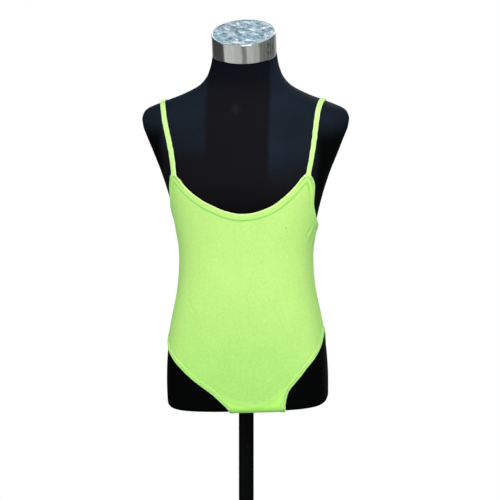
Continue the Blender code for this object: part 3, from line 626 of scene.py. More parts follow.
def glowMaterial(name, attribute=None):
    shader = Shader(name)
    colour = shader.make("ShaderNodeAttribute", {"attribute_name": attribute}) if attribute else (1, 1, 1, 1)
    return shader.output(shader.make("ShaderNodeEmission", None, {"Color": colour, "Strength": 1.0}))


def onlySeenBy(thing, *kinds):
    for kind in ("camera", "diffuse", "glossy", "transmission", "volume_scatter", "shadow"):
        setattr(thing, "visible_" + kind, kind in kinds)


def addRoom():
    for name, (place, aim, size, watts, colour) in lamps.items():
        lamp = bpy.data.lights.new(name, "AREA")
        lamp.shape, lamp.size, lamp.energy, lamp.color = "DISK", size, watts, colour
        holder = linked(name, lamp)
        holder.location = place
        holder.rotation_euler = (Vector(aim) - Vector(place)).to_track_quat("-Z", "Y").to_euler()
        holder.visible_camera = False
        holder.visible_glossy = name in ("front", "behind")
    world = bpy.data.worlds.new("studio")
    world.use_nodes = True
    nodes, links = world.node_tree.nodes, world.node_tree.links
    way, parts, ramp = (nodes.new("ShaderNode" + kind) for kind in ("TexCoord", "SeparateXYZ", "ValToRGB"))
    height = nodes.new("ShaderNodeMapRange")
    height.inputs[1].default_value = -1.0
    setStops(ramp.color_ramp.elements, room["sky"])
    links.new(way.outputs["Generated"], parts.inputs[0])
    links.new(parts.outputs[2], height.inputs[0])
    links.new(height.outputs[0], ramp.inputs[0])
    links.new(ramp.outputs[0], nodes["Background"].inputs[0])
    nodes["Background"].inputs[1].default_value = room["skyStrength"]
    scene.world = world

    bm = bmesh.new()
    bmesh.ops.create_uvsphere(bm, u_segments=48, v_segments=24, radius=room["backdropRadius"])
    bmesh.ops.reverse_faces(bm, faces=bm.faces)
    backdrop = stagePiece("backdrop", bm, glowMaterial("backdrop_white"))
    onlySeenBy(backdrop, "camera")

    bm = bmesh.new()
    rim = [(room["floorRadius"] - 0.004, -0.0002), (room["floorRadius"], -0.004), (room["floorRadius"], -0.02)]
    turn = np.linspace(0, 2 * np.pi, 129)[:-1]
    loops = [[bm.verts.new((r * np.cos(t), r * np.sin(t), z)) for t in turn] for r, z in rim]
    bm.faces.new(loops[0])
    bm.faces.new(loops[-1][::-1])
    for low, high in zip(loops[1:], loops):
        for k in range(len(turn)):
            n = (k + 1) % len(turn)
            bm.faces.new((low[k], low[n], high[n], high[k]))
    shader = Shader("floor_pale")
    cloud = shader.noise(shader.place(), 3.0, 3.0)
    colour = shader.mixed(cloud, (0.83, 0.835, 0.84, 1), (0.87, 0.87, 0.87, 1))
    floor = stagePiece("floor", bm, shader.finish(Base_Color=colour, Roughness=0.55))
    floor.visible_diffuse = floor.visible_glossy = False

    # Soft bright and dim bands all round, which only the shiny cap picks up
    count = 360
    turn = np.radians(np.arange(count))
    ring = spokes(turn) * room["ringRadius"]
    places = np.vstack([ring + [0, 0, room["ringFoot"]], ring + [0, 0, room["ringTop"]]])
    mesh = bpy.data.meshes.new("light_bands")
    mesh.from_pydata([tuple(p) for p in places], [], gridFaces(2, count, wrap=True).tolist())
    degrees = (np.degrees(turn) + 180) % 360 - 180
    ends = np.array([end for end, _ in room["bands"]], float)
    levels = np.array([level for _, level in room["bands"]])
    share = smoothStep((degrees[:, None] - ends[None, :-1]) / 4 + 0.5)
    glow = levels[0] + share @ np.diff(levels)
    colours = np.ones((count * 2, 4))
    colours[:, :3] = np.tile(glow, 2)[:, None] * np.array([0.98, 1.0, 0.98])
    mesh.color_attributes.new("glow", "FLOAT_COLOR", "POINT").data.foreach_set("color", colours.ravel())
    mesh.materials.append(glowMaterial("light_bands", "glow"))
    bands = linked("light_bands", mesh)
    onlySeenBy(bands, "glossy")


def stagePiece(name, bm, material):
    mesh = bpy.data.meshes.new(name)
    bm.to_mesh(mesh)
    bm.free()
    mesh.materials.append(material)
    thing = linked(name, mesh)
    return thing


addCamera()
addRoom()
print("leotard: camera and light ready")

# Stand

stand = {
    "baseRadius": 160 * mm, "baseEdge": 6 * mm, "baseDish": 10 * mm, "bossRadius": 18 * mm, "bossHeight": 30 * mm,
    "poleRadius": 11 * mm, "poleWall": 1.5 * mm, "poleFoot": 4 * mm, "poleInForm": 60 * mm, "gap": 0.3 * mm,
    "round": 2 * mm, "footRound": 1.5 * mm, "fillet": 3 * mm,
}


def quarterRound(radius, height, size, start, end, count=6):
    turn = np.radians(np.linspace(start, end, count))
    return [(radius + size * np.cos(t), height + size * np.sin(t)) for t in turn]


def addStand():
    s = stand
    plate, top, soft, low = s["baseRadius"], s["baseEdge"] + s["baseDish"], s["round"], s["footRound"]
    start, rise = s["bossRadius"] + s["fillet"], s["fillet"]  # where the boss rises from the plate
    knots = np.array([start, plate * 0.35, plate * 0.7, plate - soft])
    heights = s["baseEdge"] + s["baseDish"] * np.array([1, 0.7, 0.25, 0])
    reach = np.linspace(knots[-1], knots[0], 26)[1:-1]
    profile = [(plate - low, 0)]
    profile += quarterRound(plate - low, low, low, -80, 0, 5)
    profile += quarterRound(plate - soft, s["baseEdge"] - soft, soft, 0, 90)
    profile += zip(reach, hermite(reach, knots, heights[:, None])[:, 0])
    profile += [(start - rise * np.sin(t), top + rise * (1 - np.cos(t))) for t in np.radians((0, 22, 45, 68, 90))]
    profile += quarterRound(s["bossRadius"] - soft, s["bossHeight"] - soft, soft, 0, 90)
    hole = s["poleRadius"] + s["gap"]
    profile += [(hole + 0.6 * mm, s["bossHeight"]), (hole, s["bossHeight"] - 0.6 * mm), (hole, s["poleFoot"])]
    base = lathe("standBase", profile, materials["paint"], 192)
    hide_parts("stand_base")

    foot, head = s["poleFoot"] + s["gap"], form["bottom"] + s["poleInForm"] - s["gap"]
    tube = [(s["poleRadius"], z) for z in np.linspace(foot, head, 24)]
    tube += [(s["poleRadius"] - s["poleWall"], z) for z in np.linspace(head, foot, 4)]
    pole = lathe("standPole", tube, materials["paint"], 96)
    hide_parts("stand_pole")


addStand()
print("leotard: stand ready")

# Dress form


def neckShear(points):
    share = np.clip((points[:, 2] - form["neckTiltStarts"]) / (form["neckTop"] - form["neckTiltStarts"]), 0, 1)
    tipped = points.copy()
    tipped[:, 2] += np.tan(form["neckTilt"] * share) * (points[:, 1] - form["neckLean"])
    tipped[:, 2] += np.tan(form["neckRoll"] * share) * points[:, 0]
    return tipped


def addForm():
    degrees = np.linspace(0, 360, form["spokes"] + 1)[:-1]
    edge = form["edgeRadius"]
    rings = []
    for turn in np.radians(np.linspace(4, 90, 12)):
        height = edge * (1 - np.cos(turn))
        ring = roundPoints(degrees, height)
        inset = edge - np.sqrt(max(edge**2 - (edge - height) ** 2, 0))
        ring[:, :2] *= 1 - inset / np.linalg.norm(ring[:, :2], axis=1)[:, None]
        rings.append(settled(ring))
    wall = list(np.arange(edge + 4 * mm, 400 * mm, form["rowStep"])) + list(np.arange(402, 511, 2.5) * mm)
    for height in wall + [form["neckTop"]]:
        ring = roundPoints(degrees, height)
        calm = smoothStep((form["neckTop"] - height) / (20 * mm)) * form["unevenness"]
        rings.append(neckShear(ring + outward(ring) * (softNoise(ring, 45 * mm, 11) * calm)[:, None]))
    places = [onStand(ring) for ring in rings]
    turn = np.radians(degrees)
    hole = stand["poleRadius"] + stand["gap"]
    bore = spokes(turn) * hole
    mouth = bore + np.array([0, 0, form["bottom"]])
    mouth[:, 2] += (bore[:, 0] - form["leanPivot"] * np.tan(form["lean"])) * np.tan(form["lean"])
    mouth[:, 2] += (bore[:, 0] - form["bottomShift"]) * np.tan(form["bottomTilt"])
    roof = bore + np.array([0, 0, form["bottom"] + stand["poleInForm"]])
    spread = np.linspace(0, 1, 8)[1:-1]
    under = [mouth * (1 - t) + places[0] * t for t in spread]
    stack = [roof, mouth] + under + places
    count = len(degrees)
    faces = gridFaces(len(stack), count, wrap=True).tolist()
    faces += closedEnds(len(stack), count)
    rise = np.concatenate([[0], np.cumsum([np.linalg.norm(b - a, axis=1).mean() for a, b in zip(stack, stack[1:])])])
    u = np.tile(turn * 0.1, len(stack))
    v = np.repeat(rise, count)
    uv = np.column_stack([u, v])
    cover = makePiece("formCover", np.vstack(stack), faces, materials["form"], uv=uv)
    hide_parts("dress_form")
    return cover


formCover = addForm()
print("leotard: dress form ready")

# Neck cap

cap = {
    "radius": 46.4 * mm, "height": 33 * mm, "axisTilt": np.radians(18), "topTilt": np.radians(20),
    "topRoll": np.radians(1), "segments": 224, "filmRings": 44, "dentAngle": 57, "dent": 1.0 * mm,
    # the rolled rim: mm in from the wall and down from the top
    "lip": ((0, 1.3), (0.08, 0.8), (0.35, 0.3), (0.9, 0), (1.4, 0.1), (1.7, 0.6), (1.8, 1.6)),
}


def tiltedCircle(radius, up, turn):
    share = np.clip(up / cap["height"], 0, 1)
    tilt = form["neckTilt"] * (1 - share) + cap["topTilt"] * share
    roll = form["neckRoll"] * (1 - share) + cap["topRoll"] * share
    axis = np.array([0, -np.sin(cap["axisTilt"]), np.cos(cap["axisTilt"])])
    centre = np.array([0, form["neckLean"], form["neckTop"] + stand["gap"]]) + axis * up
    x, y = radius * np.sin(turn), -radius * np.cos(turn)
    return centre + np.stack([x, y, y * np.tan(tilt) + x * np.tan(roll)], axis=1)


def addCap():
    radius, height = cap["radius"], cap["height"]
    turn = np.linspace(0, 2 * np.pi, cap["segments"] + 1)[:-1]
    degrees = (np.degrees(turn) + 180) % 360 - 180
    rows = [(radius, up) for up in np.linspace(0, height - 2.0 * mm, 20)]
    rows += [(radius - inwards * mm, height - down * mm) for inwards, down in cap["lip"]]
    rings = []
    for r, up in rows:
        ring = tiltedCircle(r, up, turn)
        wall = smoothStep(up / (5 * mm)) * smoothStep((height - up) / (5 * mm))
        wave = softNoise(ring * np.array([1, 1, 0.25]), 16 * mm, 23) * 0.10 * mm
        drift = cap["dentAngle"] + 2.2 * np.sin(up / (3.4 * mm))
        wave += groove(degrees, drift, 3.0, cap["dent"]) * np.sin(up / (4.2 * mm) + 0.6)
        wave += groove(degrees, drift + 9, 2.0, 0.5 * cap["dent"]) * np.cos(up / (5.5 * mm))
        rings.append(onStand(ring + spokes(turn) * (wave * wall)[:, None]))
    count = len(turn)
    faces = gridFaces(len(rings), count, wrap=True).tolist()
    faces += closedEnds(len(rings), count)
    band = makePiece("capBand", np.vstack(rings), faces, materials["cap"])
    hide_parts("neck_cap")

    shares = np.linspace(1, 0, cap["filmRings"] + 1)[:-1]
    tops, bottoms = [], []
    for share in shares:
        flat = tiltedCircle((radius - 1.2 * mm) * share, height - 0.22 * mm, turn)
        ridge = 1 - np.abs(softNoise(flat, 26 * mm, 31)) * 1.6
        crease = 1 - np.abs(softNoise(flat, 12 * mm, 37)) * 1.6
        calm = smoothStep((1 - share) * 9)
        lift = (ridge * 0.50 + crease * 0.24 + softNoise(flat, 5 * mm, 41) * 0.06) * mm * calm - 0.25 * mm * calm
        tops.append(onStand(flat + np.outer(lift, [0, 0, 1])))
        bottoms.append(onStand(flat - np.outer(0.9 * calm + 0.3, [0, 0, mm])))
    centreTop, centreBottom = tops[-1].mean(axis=0), bottoms[-1].mean(axis=0)
    half = len(tops) * count
    places = np.vstack(tops + bottoms + [centreTop[None], centreBottom[None]])
    k = np.arange(count)
    n = (k + 1) % count
    faces = gridFaces(len(tops), count, wrap=True).tolist() + gridFaces(len(tops), count, half, wrap=True).tolist()
    faces += np.stack([k, n, half + n, half + k], axis=1).tolist()
    for start, centre in ((half - count, 2 * half), (2 * half - count, 2 * half + 1)):
        faces += np.stack([start + k, start + n, np.full(count, centre)], axis=1).tolist()
    film = makePiece("capFilm", places, faces, materials["film"])
    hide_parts("neck_cap")


addCap()
print("leotard: neck cap ready")

# Edges of the garment

edges = {
    "neckFront": ((-78.5, 310.5), (-45, 290), (0, 277.5), (44.5, 288), (76, 312.5)),
    "neckBack": ((-62, 296), (-32, 273), (0, 265), (32, 273), (62, 296)),
    "armLeft": (
        (-64, 318), (-67, 305), (-72.5, 290), (-81, 275), (-92, 262), (-104, 257), (-114, 263), (-121, 280),
        (-125, 302),
    ),
    "armRight": (
        (59.5, 320), (61, 309), (62.5, 296), (66, 283), (73, 269), (84, 258), (97, 254), (110, 259), (120, 276),
        (125, 300),
    ),
    "crotch": ((-27.5, 22), (-12, 15.5), (3, 12), (18, 10.5), (30, 12.5), (42, 18.5), (52, 26), (61, 35)),
    "crotchBackHeight": 13,
    "legLeftFront": ((-107, 90), (-96.5, 77), (-85, 67), (-73, 57), (-59.5, 47), (-43.5, 36), (-29, 23.5), (-17, 11.5)),
    "legLeftUnder": ((-6, -66), (10, -38), (20, 0), (13, 38), (-6, 66)),
    "legLeftBack": ((-30, 13), (-48, 24), (-72, 43), (-92, 66), (-106, 88)),
    "legLeftHip": ((-96, 106), (-78, 101)),
    "legRightFront": ((106.7, 94), (99, 81), (88, 68), (78.5, 56), (69, 45), (61.5, 35), (57.5, 25), (55, 13)),
    "legRightUnder": ((53, -62), (50.5, -32), (50, 0), (52, 34), (57, 62)),
    "legRightBack": ((69, 13), (80, 24), (93, 43), (104, 67), (110, 90)),
    "legRightHip": ((96, 114), (81, 109)),
    # seams' corner (x, height) and strap's foot (x, height)
    "peaks": {
        "frontLeft": (-98, 330, -99.3, 341), "frontRight": (91.5, 330.5, 95, 340.5),
        "backLeft": (-84, 322, -86, 333), "backRight": (84, 322, 86, 333),
    },
    "sideSeams": (-95, 86),
}
eases = ((90, 268, 20, 32, 1.6), (62, 322, 9, 16, 0.8))  # angle, height, their spreads, lift


def peakCorner(name, first=0):
    x, height = edges["peaks"][name][first : first + 2]
    return settled(wallPoints([(x, height)], back=name.startswith("back")))[0]


def peakFoot(name):
    return peakCorner(name, 2)


def openEdge(first, inner, last):
    return lineThrough(np.vstack([first, inner, last]))


def legLine(side):
    under = np.asarray(edges[side + "Under"], float) * mm - np.array([form["bottomShift"], 0])
    under = np.column_stack([under, np.zeros(len(under))])
    front, back = wallPoints(edges[side + "Front"]), wallPoints(edges[side + "Back"], True)
    return lineThrough(np.vstack([front, under, back, sidePoints(edges[side + "Hip"])]), closed=True)


corner = {name: peakCorner(name) for name in edges["peaks"]}
neckFront = openEdge(corner["frontLeft"], wallPoints(edges["neckFront"]), corner["frontRight"])
neckBack = openEdge(corner["backLeft"], wallPoints(edges["neckBack"], True), corner["backRight"])
armLeft = openEdge(corner["frontLeft"], sidePoints(edges["armLeft"]), corner["backLeft"])
armRight = openEdge(corner["frontRight"], sidePoints(edges["armRight"]), corner["backRight"])
legLeft, legRight = legLine("legLeft"), legLine("legRight")

leftSeam, rightSeam = edges["sideSeams"]
hipHeight = 60 * mm
leftLow, rightLow = whereAngle(legLeft, leftSeam, hipHeight), whereAngle(legRight, rightSeam, hipHeight)
leftTop, rightTop = whereAngle(armLeft, leftSeam, 0), whereAngle(armRight, rightSeam, 0)
crotchFront = lineThrough(wallPoints(edges["crotch"]))
leftFrontEnd, rightFrontEnd = nearest(legLeft, crotchFront[0]), nearest(legRight, crotchFront[-1])
crotchFront[0], crotchFront[-1] = legLeft[leftFrontEnd], legRight[rightFrontEnd]
leftBackEnd = nearest(legLeft, wallPoints([(edges["legLeftBack"][0][0], edges["crotchBackHeight"])], True)[0])
rightBackEnd = nearest(legRight, wallPoints([(edges["legRightBack"][0][0], edges["crotchBackHeight"])], True)[0])
span = np.linspace(0, 1, 200)[:, None]
crotchBack = settled(legLeft[leftBackEnd] * (1 - span) + legRight[rightBackEnd] * span)
print("leotard: edges laid out")

# Panels of cloth

cloth = {
    "clearance": 0.7 * mm, "thickness": 1.1 * mm, "sideSteps": 40, "middleSteps": 64, "panelRows": 128,
    "edgeRoll": 0.30 * mm, "edgeWidth": 1.3 * mm, "sideRoll": 0.45 * mm, "sideWidth": 1.1 * mm,
    "seamRidge": 0.40 * mm, "seamRidgeWidth": 3.0 * mm, "drape": 0.22 * mm,
    "neckSeamShade": 0.70, "armSeamShade": 0.22, "seamFade": 24 * mm,  # how dark the painted shade in the seams is, and how soon it fades
}
# Listed creases: places as (angle, height), width and lift in mm, below 0 for a valley
creases = (
    (((-53.5, 165), (-50, 158), (-47.6, 151), (-43, 143), (-38.3, 136)), 1.7, -0.55),
    (((-55.2, 164), (-52, 156.5), (-49.5, 149.5), (-45, 141), (-40, 134)), 2.0, 0.25),
    (((-36, 133), (-33.5, 129.6)), 1.6, -0.35),
    (((71, 266), (66, 257), (62, 249)), 2.4, -0.70),
    (((75, 267), (70, 257), (65, 248)), 2.4, 0.55),
    (((80, 262), (73, 250), (68, 238)), 2.2, -0.65),
    (((86, 258), (80, 246), (74, 236)), 2.6, 0.60),
    (((92, 250), (84, 238), (77, 226)), 2.4, -0.50),
    (((-78, 268), (-73, 256), (-70, 246)), 2.8, -0.45),
    (((-84, 262), (-79, 250), (-75, 238)), 3.0, 0.35),
    (((-62, 80), (-48, 92), (-30, 98)), 7.0, -0.30),
    (((62, 78), (48, 92), (30, 99)), 7.0, -0.30),
    (((128, 292), (136, 280), (146, 272)), 3.2, -0.50),
    (((-128, 292), (-136, 279), (-147, 270)), 3.2, -0.50),
    (((150, 30), (158, 42), (164, 56)), 4.0, -0.45),
    (((-152, 32), (-160, 44), (-166, 58)), 4.0, -0.45),
    (((118, 196), (142, 203), (165, 199)), 5.0, -0.40),
    (((-116, 204), (-140, 198), (-160, 202)), 5.0, -0.35),
)


def easeAt(points):  # where the cloth stands further off the form
    total = np.zeros(len(points))
    for degrees, height, wide, tall, lift in eases:
        around = near(angleOf(points) - degrees, wide)
        total += lift * mm * around * near(points[:, 2] - height * mm, tall * mm)
    return total


def lifted(points, lift):
    return points + outward(points) * (easeAt(points) + lift)[:, None]


def distanceTo(points, route):  # and how far along the route, 0 to 1
    best, along = np.full(len(points), 1e9), np.zeros(len(points))
    for k, (a, b) in enumerate(zip(route, route[1:])):
        way = b - a
        t = np.clip((points - a) @ way / (way @ way), 0, 1)
        away = np.linalg.norm(points - a - t[:, None] * way, axis=1)
        closer = away < best
        best = np.where(closer, away, best)
        along = np.where(closer, (k + t) / (len(route) - 1), along)
    return best, along


def creaseAt(points, places, width):  # 1 along a crease, fading beside it and towards its ends
    away, along = distanceTo(points, sidePoints(places))
    return near(away, width) * (smoothStep(along * 3.5) * smoothStep((1 - along) * 3.5))


def drapeAt(points):  # the cloth's own small ups and downs
    total = softNoise(points, 60 * mm, 5) * cloth["drape"]
    for places, width, lift in creases:
        total += lift * mm * creaseAt(points, places, width * mm)
    return np.clip(total, -0.62 * mm, 1.2 * mm)


def unrolled(points, side):
    degrees = angleOf(points)
    if side == "back":
        degrees = np.where(degrees < 0, degrees + 360, degrees)
    return np.stack([degrees, points[:, 2]], axis=1)


def gridLengths(grid, axis):  # distance from the first row or column of a grid of points
    steps = np.linalg.norm(np.diff(grid, axis=axis), axis=-1)
    return np.insert(np.cumsum(steps, axis=axis), 0, 0, axis=axis)


def clothSheet(name, grid, drop, ridge, tone, material="cloth"):
    rows, columns = grid.shape[:2]
    flat = grid.reshape(-1, 3)
    drape = drapeAt(flat)
    top = cloth["clearance"] + cloth["thickness"] - drop.ravel() + ridge.ravel()
    inner = onStand(lifted(flat, cloth["clearance"] + drape))
    outer = onStand(lifted(flat, top + drape))
    across = gridLengths(grid, 1)
    across -= across[:, columns // 2][:, None]
    up = gridLengths(grid, 0)
    uv = np.column_stack([across.ravel(), up.ravel()])
    count = rows * columns
    faces = gridFaces(rows, columns).tolist() + gridFaces(rows, columns, count).tolist()
    rim = list(range(columns)) + [r * columns + columns - 1 for r in range(1, rows)]
    rim += [(rows - 1) * columns + c for c in range(columns - 2, -1, -1)]
    rim += [r * columns for r in range(rows - 2, 0, -1)]
    faces += [(a, b, b + count, a + count) for a, b in zip(rim, rim[1:] + rim[:1])]
    piece = makePiece(name, np.vstack([outer, inner]), faces, materials[material],
                      uv=np.vstack([uv, uv]), tone=np.tile(tone.ravel(), 2))
    ends = np.empty(len(piece.data.edges) * 2, int)
    piece.data.edges.foreach_get("vertices", ends)
    onRim = np.isin(ends.reshape(-1, 2), rim).all(axis=1)
    piece.data.attributes.new("sharp_edge", "BOOLEAN", "EDGE").data.foreach_set("value", onRim)
    return piece


def edgeGap(grid):  # distance of each point from the sheet's bottom, top and side edges
    across, up = gridLengths(grid, 1), gridLengths(grid, 0)
    return up, up[-1:] - up, np.minimum(across, across[:, -1:] - across)


def seamShadeAlong(edge, peaks):  # how dark the painted shade along a top edge's seam is: even at the neck, fading down the arms
    along = lengthsAlong(edge)
    left, right = (np.argmin(np.linalg.norm(edge - peakCorner(peak), axis=1)) for peak in peaks)
    if left > right:
        left, right = right, left
    past = np.maximum(along[left] - along, along - along[right])
    return cloth["neckSeamShade"] - (cloth["neckSeamShade"] - cloth["armSeamShade"]) * smoothStep(past / cloth["seamFade"])


def panelSheet(name, bottom, top, side):
    low, high = unrolled(bottom, side), unrolled(top, side)
    share = np.linspace(0, 1, cloth["panelRows"] + 1)
    share = (share - 0.06 * np.sin(2 * np.pi * share))[:, None, None]  # closer rows at both edges
    rows = low * (1 - share) + high * share
    grid = settled(roundPoints(*rows.reshape(-1, 2).T)).reshape(*rows.shape[:2], 3)
    fromBottom, fromTop, fromSide = edgeGap(grid)
    sewn = np.zeros(grid.shape[1])  # 1 where the bottom edge is sewn to the gusset
    sewn[cloth["sideSteps"] : cloth["sideSteps"] + cloth["middleSteps"] + 1] = 1
    atLegs = np.where(sewn[None] > 0, 1, fromBottom)
    drop = near(np.minimum(fromTop, atLegs), cloth["edgeWidth"], cloth["edgeRoll"])
    drop += near(fromSide, cloth["sideWidth"], cloth["sideRoll"])
    ridge = near(fromBottom, cloth["seamRidgeWidth"], cloth["seamRidge"]) * sewn[None]
    # painted highlight along the crotch seam's ridge, painted shade at the leg, side and top edges and in the seams
    tone = near(fromBottom, 2.6 * mm, 0.20) * sewn[None] - near(atLegs, 0.9 * mm, 0.10) - near(fromSide, 0.7 * mm, 0.20)
    tone -= near(fromTop, 1.3 * mm) * seamShadeAlong(grid[-1], (side + "Left", side + "Right"))[None]
    for places, _, lift in creases:
        if lift < -0.5:  # the deepest creases get painted shade along their lines
            tone -= 0.30 * creaseAt(grid.reshape(-1, 3), places, 1.3 * mm).reshape(tone.shape)
    return clothSheet(name, grid, drop, ridge, tone)


def halfDepth(x, back):
    wide, front, behind, square = sectionShapes[0]
    share = np.clip(1 - np.abs(x / wide) ** square, 0, 1) ** (1 / square)
    return np.where(back, behind, front) * share


def placeUnder(points):  # 0 under the middle, 1 or -1 where the rounded edge starts, 2 where it ends
    x, y, z = points.T
    edge = form["edgeRadius"]
    flat = halfDepth(x, y > 0) - edge
    bend = np.arccos(np.clip(1 - z / edge, -1, 1)) / (np.pi / 2)
    rise = np.maximum(z / edge - 1, 0)
    return np.sign(y) * np.where(np.abs(y) < flat, np.abs(y) / flat, 1 + np.minimum(bend, 1) + rise)


def rowUnder(left, right, place, steps):
    x = np.linspace(left[0], right[0], steps + 1)
    bend = max(abs(place) - 1, 0) * np.pi / 2
    edge = form["edgeRadius"]
    y = np.sign(place) * ((halfDepth(x, place > 0) - edge) * min(abs(place), 1) + edge * np.sin(bend))
    z = np.full_like(x, edge * (1 - np.cos(bend)))
    return np.vstack([left, settled(np.stack([x, y, z], axis=1))[1:-1], right])


def underStations(line, places, seamRows):
    place = placeUnder(line)
    first, last = np.argmax(place > places[0]), np.argmax(place > places[-1])
    front = line[np.linspace(0, first, seamRows + 1).round().astype(int)[:-1]]
    back = line[np.linspace(last, len(line) - 1, seamRows + 1).round().astype(int)[1:]]
    under = np.stack([np.interp(places, place, line[:, k]) for k in range(3)], axis=1)
    return np.vstack([front, under, back])


def gussetSheet(leftRun, rightRun):
    places = np.concatenate([np.linspace(-1.75, -1, 9), np.linspace(-1, 1, 37)[1:-1], np.linspace(1, 1.75, 9)])
    seamRows = 8
    left, right = underStations(leftRun, places, seamRows), underStations(rightRun, places, seamRows)
    steps = 64
    front, back = stations(crotchFront, steps), stations(crotchBack, steps)
    front[0], front[-1], back[0], back[-1] = left[0], right[0], left[-1], right[-1]
    rows = [rowUnder(left[seamRows + k], right[seamRows + k], p, steps) for k, p in enumerate(places)]
    share = np.linspace(0, 1, seamRows + 1)[:, None, None]
    first = front * (1 - share[:-1]) + rows[0] * share[:-1]
    last = rows[-1] * (1 - share[1:]) + back * share[1:]
    grid = np.concatenate([first, rows, last])
    grid[:, 0], grid[:, -1] = left, right
    inner = grid[1:-1, 1:-1]
    grid[1:-1, 1:-1] = settled(inner.reshape(-1, 3)).reshape(inner.shape)
    fromFront, fromBack, fromSide = edgeGap(grid)
    seam = np.minimum(fromFront, fromBack)
    drop = near(fromSide, cloth["edgeWidth"], cloth["edgeRoll"])
    ridge = near(seam, cloth["seamRidgeWidth"], cloth["seamRidge"])
    # painted highlight along the seam ridges, painted shade in a band beside them and at the side edges
    tone = near(seam, 2.0 * mm, 0.08) - groove(seam, 5 * mm, 2.4 * mm, 0.16) - near(fromSide, 0.8 * mm, 0.20)
    return clothSheet("gussetCloth", grid, drop, ridge, tone, "gusset")


sideSteps, middleSteps = cloth["sideSteps"], cloth["middleSteps"]
seamFront, seamBack = stations(crotchFront, middleSteps), stations(crotchBack, middleSteps)
leftFront = stations(shorterWay(legLeft, leftLow, leftFrontEnd), sideSteps)
leftBack = stations(shorterWay(legLeft, leftBackEnd, leftLow), sideSteps)
rightFront = stations(shorterWay(legRight, rightLow, rightFrontEnd), sideSteps)
rightBack = stations(shorterWay(legRight, rightBackEnd, rightLow), sideSteps)
leftRun, rightRun = shorterWay(legLeft, leftFrontEnd, leftBackEnd), shorterWay(legRight, rightFrontEnd, rightBackEnd)
armLeftFront, armLeftBack = stations(armLeft[: leftTop + 1], sideSteps), stations(armLeft[leftTop:], sideSteps)
armRightFront, armRightBack = stations(armRight[: rightTop + 1], sideSteps), stations(armRight[rightTop:], sideSteps)

frontPanel = panelSheet(
    "frontPanelCloth", joined(leftFront, seamFront, rightFront[::-1]),
    joined(armLeftFront[::-1], stations(neckFront, middleSteps), armRightFront), "front",
)
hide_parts("front_panel")
backPanel = panelSheet(
    "backPanelCloth", joined(rightBack[::-1], seamBack[::-1], leftBack),
    joined(armRightBack, stations(neckBack, middleSteps)[::-1], armLeftBack[::-1]), "back",
)
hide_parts("back_panel")
gusset = gussetSheet(leftRun, rightRun)
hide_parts("gusset")
print("leotard: panels ready")

# Bindings and straps: folded strips with a rolled free edge

strip = {
    "thickness": 1.8 * mm, "step": 1.6 * mm, "seamStart": -0.25 * mm,
    "neckWidth": 10 * mm, "armWidth": 10 * mm, "legWidth": 7.5 * mm, "strapWidth": 7.6 * mm,
    "pucker": 0.10 * mm, "wander": 0.16 * mm, "overrun": 18 * mm, "trimReach": 35 * mm,
    "peakGroove": 3.4 * mm, "peakFade": 12 * mm,
    "bulges": {
        "arm_binding_right": (("head", 6 * mm, 12 * mm, 3.0 * mm),),
        "neck_binding_front": (("head", 6 * mm, 6 * mm, 1.6 * mm), ("tail", 3 * mm, 5 * mm, 0.8 * mm)),
        "arm_binding_left": (("head", 38 * mm, 18 * mm, -1.8 * mm),),
    },
    "shoulder": (3.6 * mm, -0.6 * mm, 1.0),  # where a binding's top is rounded off beside its strap, and how steeply
}


def acrossOf(line, towards, closed):
    along = np.roll(line, -1, axis=0) - np.roll(line, 1, axis=0) if closed else np.gradient(line, axis=0)
    across = np.cross(outward(line), along) * towards
    return across / np.linalg.norm(across, axis=1)[:, None]


def stripMesh(line, offsets, lifts, paintedLights, towards, closed=False):
    # offsets, lifts and tones have a row for each station and a column for each point of the section
    across = acrossOf(line, towards, closed)
    count, ringSize = offsets.shape
    base = (line[:, None] + across[:, None] * offsets[..., None]).reshape(-1, 3)
    places = onStand(lifted(settled(base, 3), lifts.ravel()))
    along = lengthsAlong(np.vstack([line, line[:1]]) if closed else line)
    rings = count if closed else count - 1
    r, k = np.meshgrid(np.arange(rings), np.arange(ringSize), indexing="ij")
    faces = (gridFaces(rings + 1, ringSize, wrap=True) % (count * ringSize)).tolist()
    around = np.concatenate([[0], np.cumsum(np.hypot(np.diff(offsets[0]), np.diff(lifts[0])))])
    around = np.append(around, around[-1] + 0.5 * mm)
    spots = [np.stack([around[k + a], along[r + b]], axis=-1) for a, b in ((0, 0), (1, 0), (1, 1), (0, 1))]
    corners = np.stack(spots, axis=2).reshape(-1, 2)
    if not closed:
        faces += closedEnds(count, ringSize)
        ends = [np.column_stack([offsets[i], lifts[i]]) for i in (0, -1)]
        corners = np.vstack([corners] + ends)
    return places, faces, corners, paintedLights.ravel()


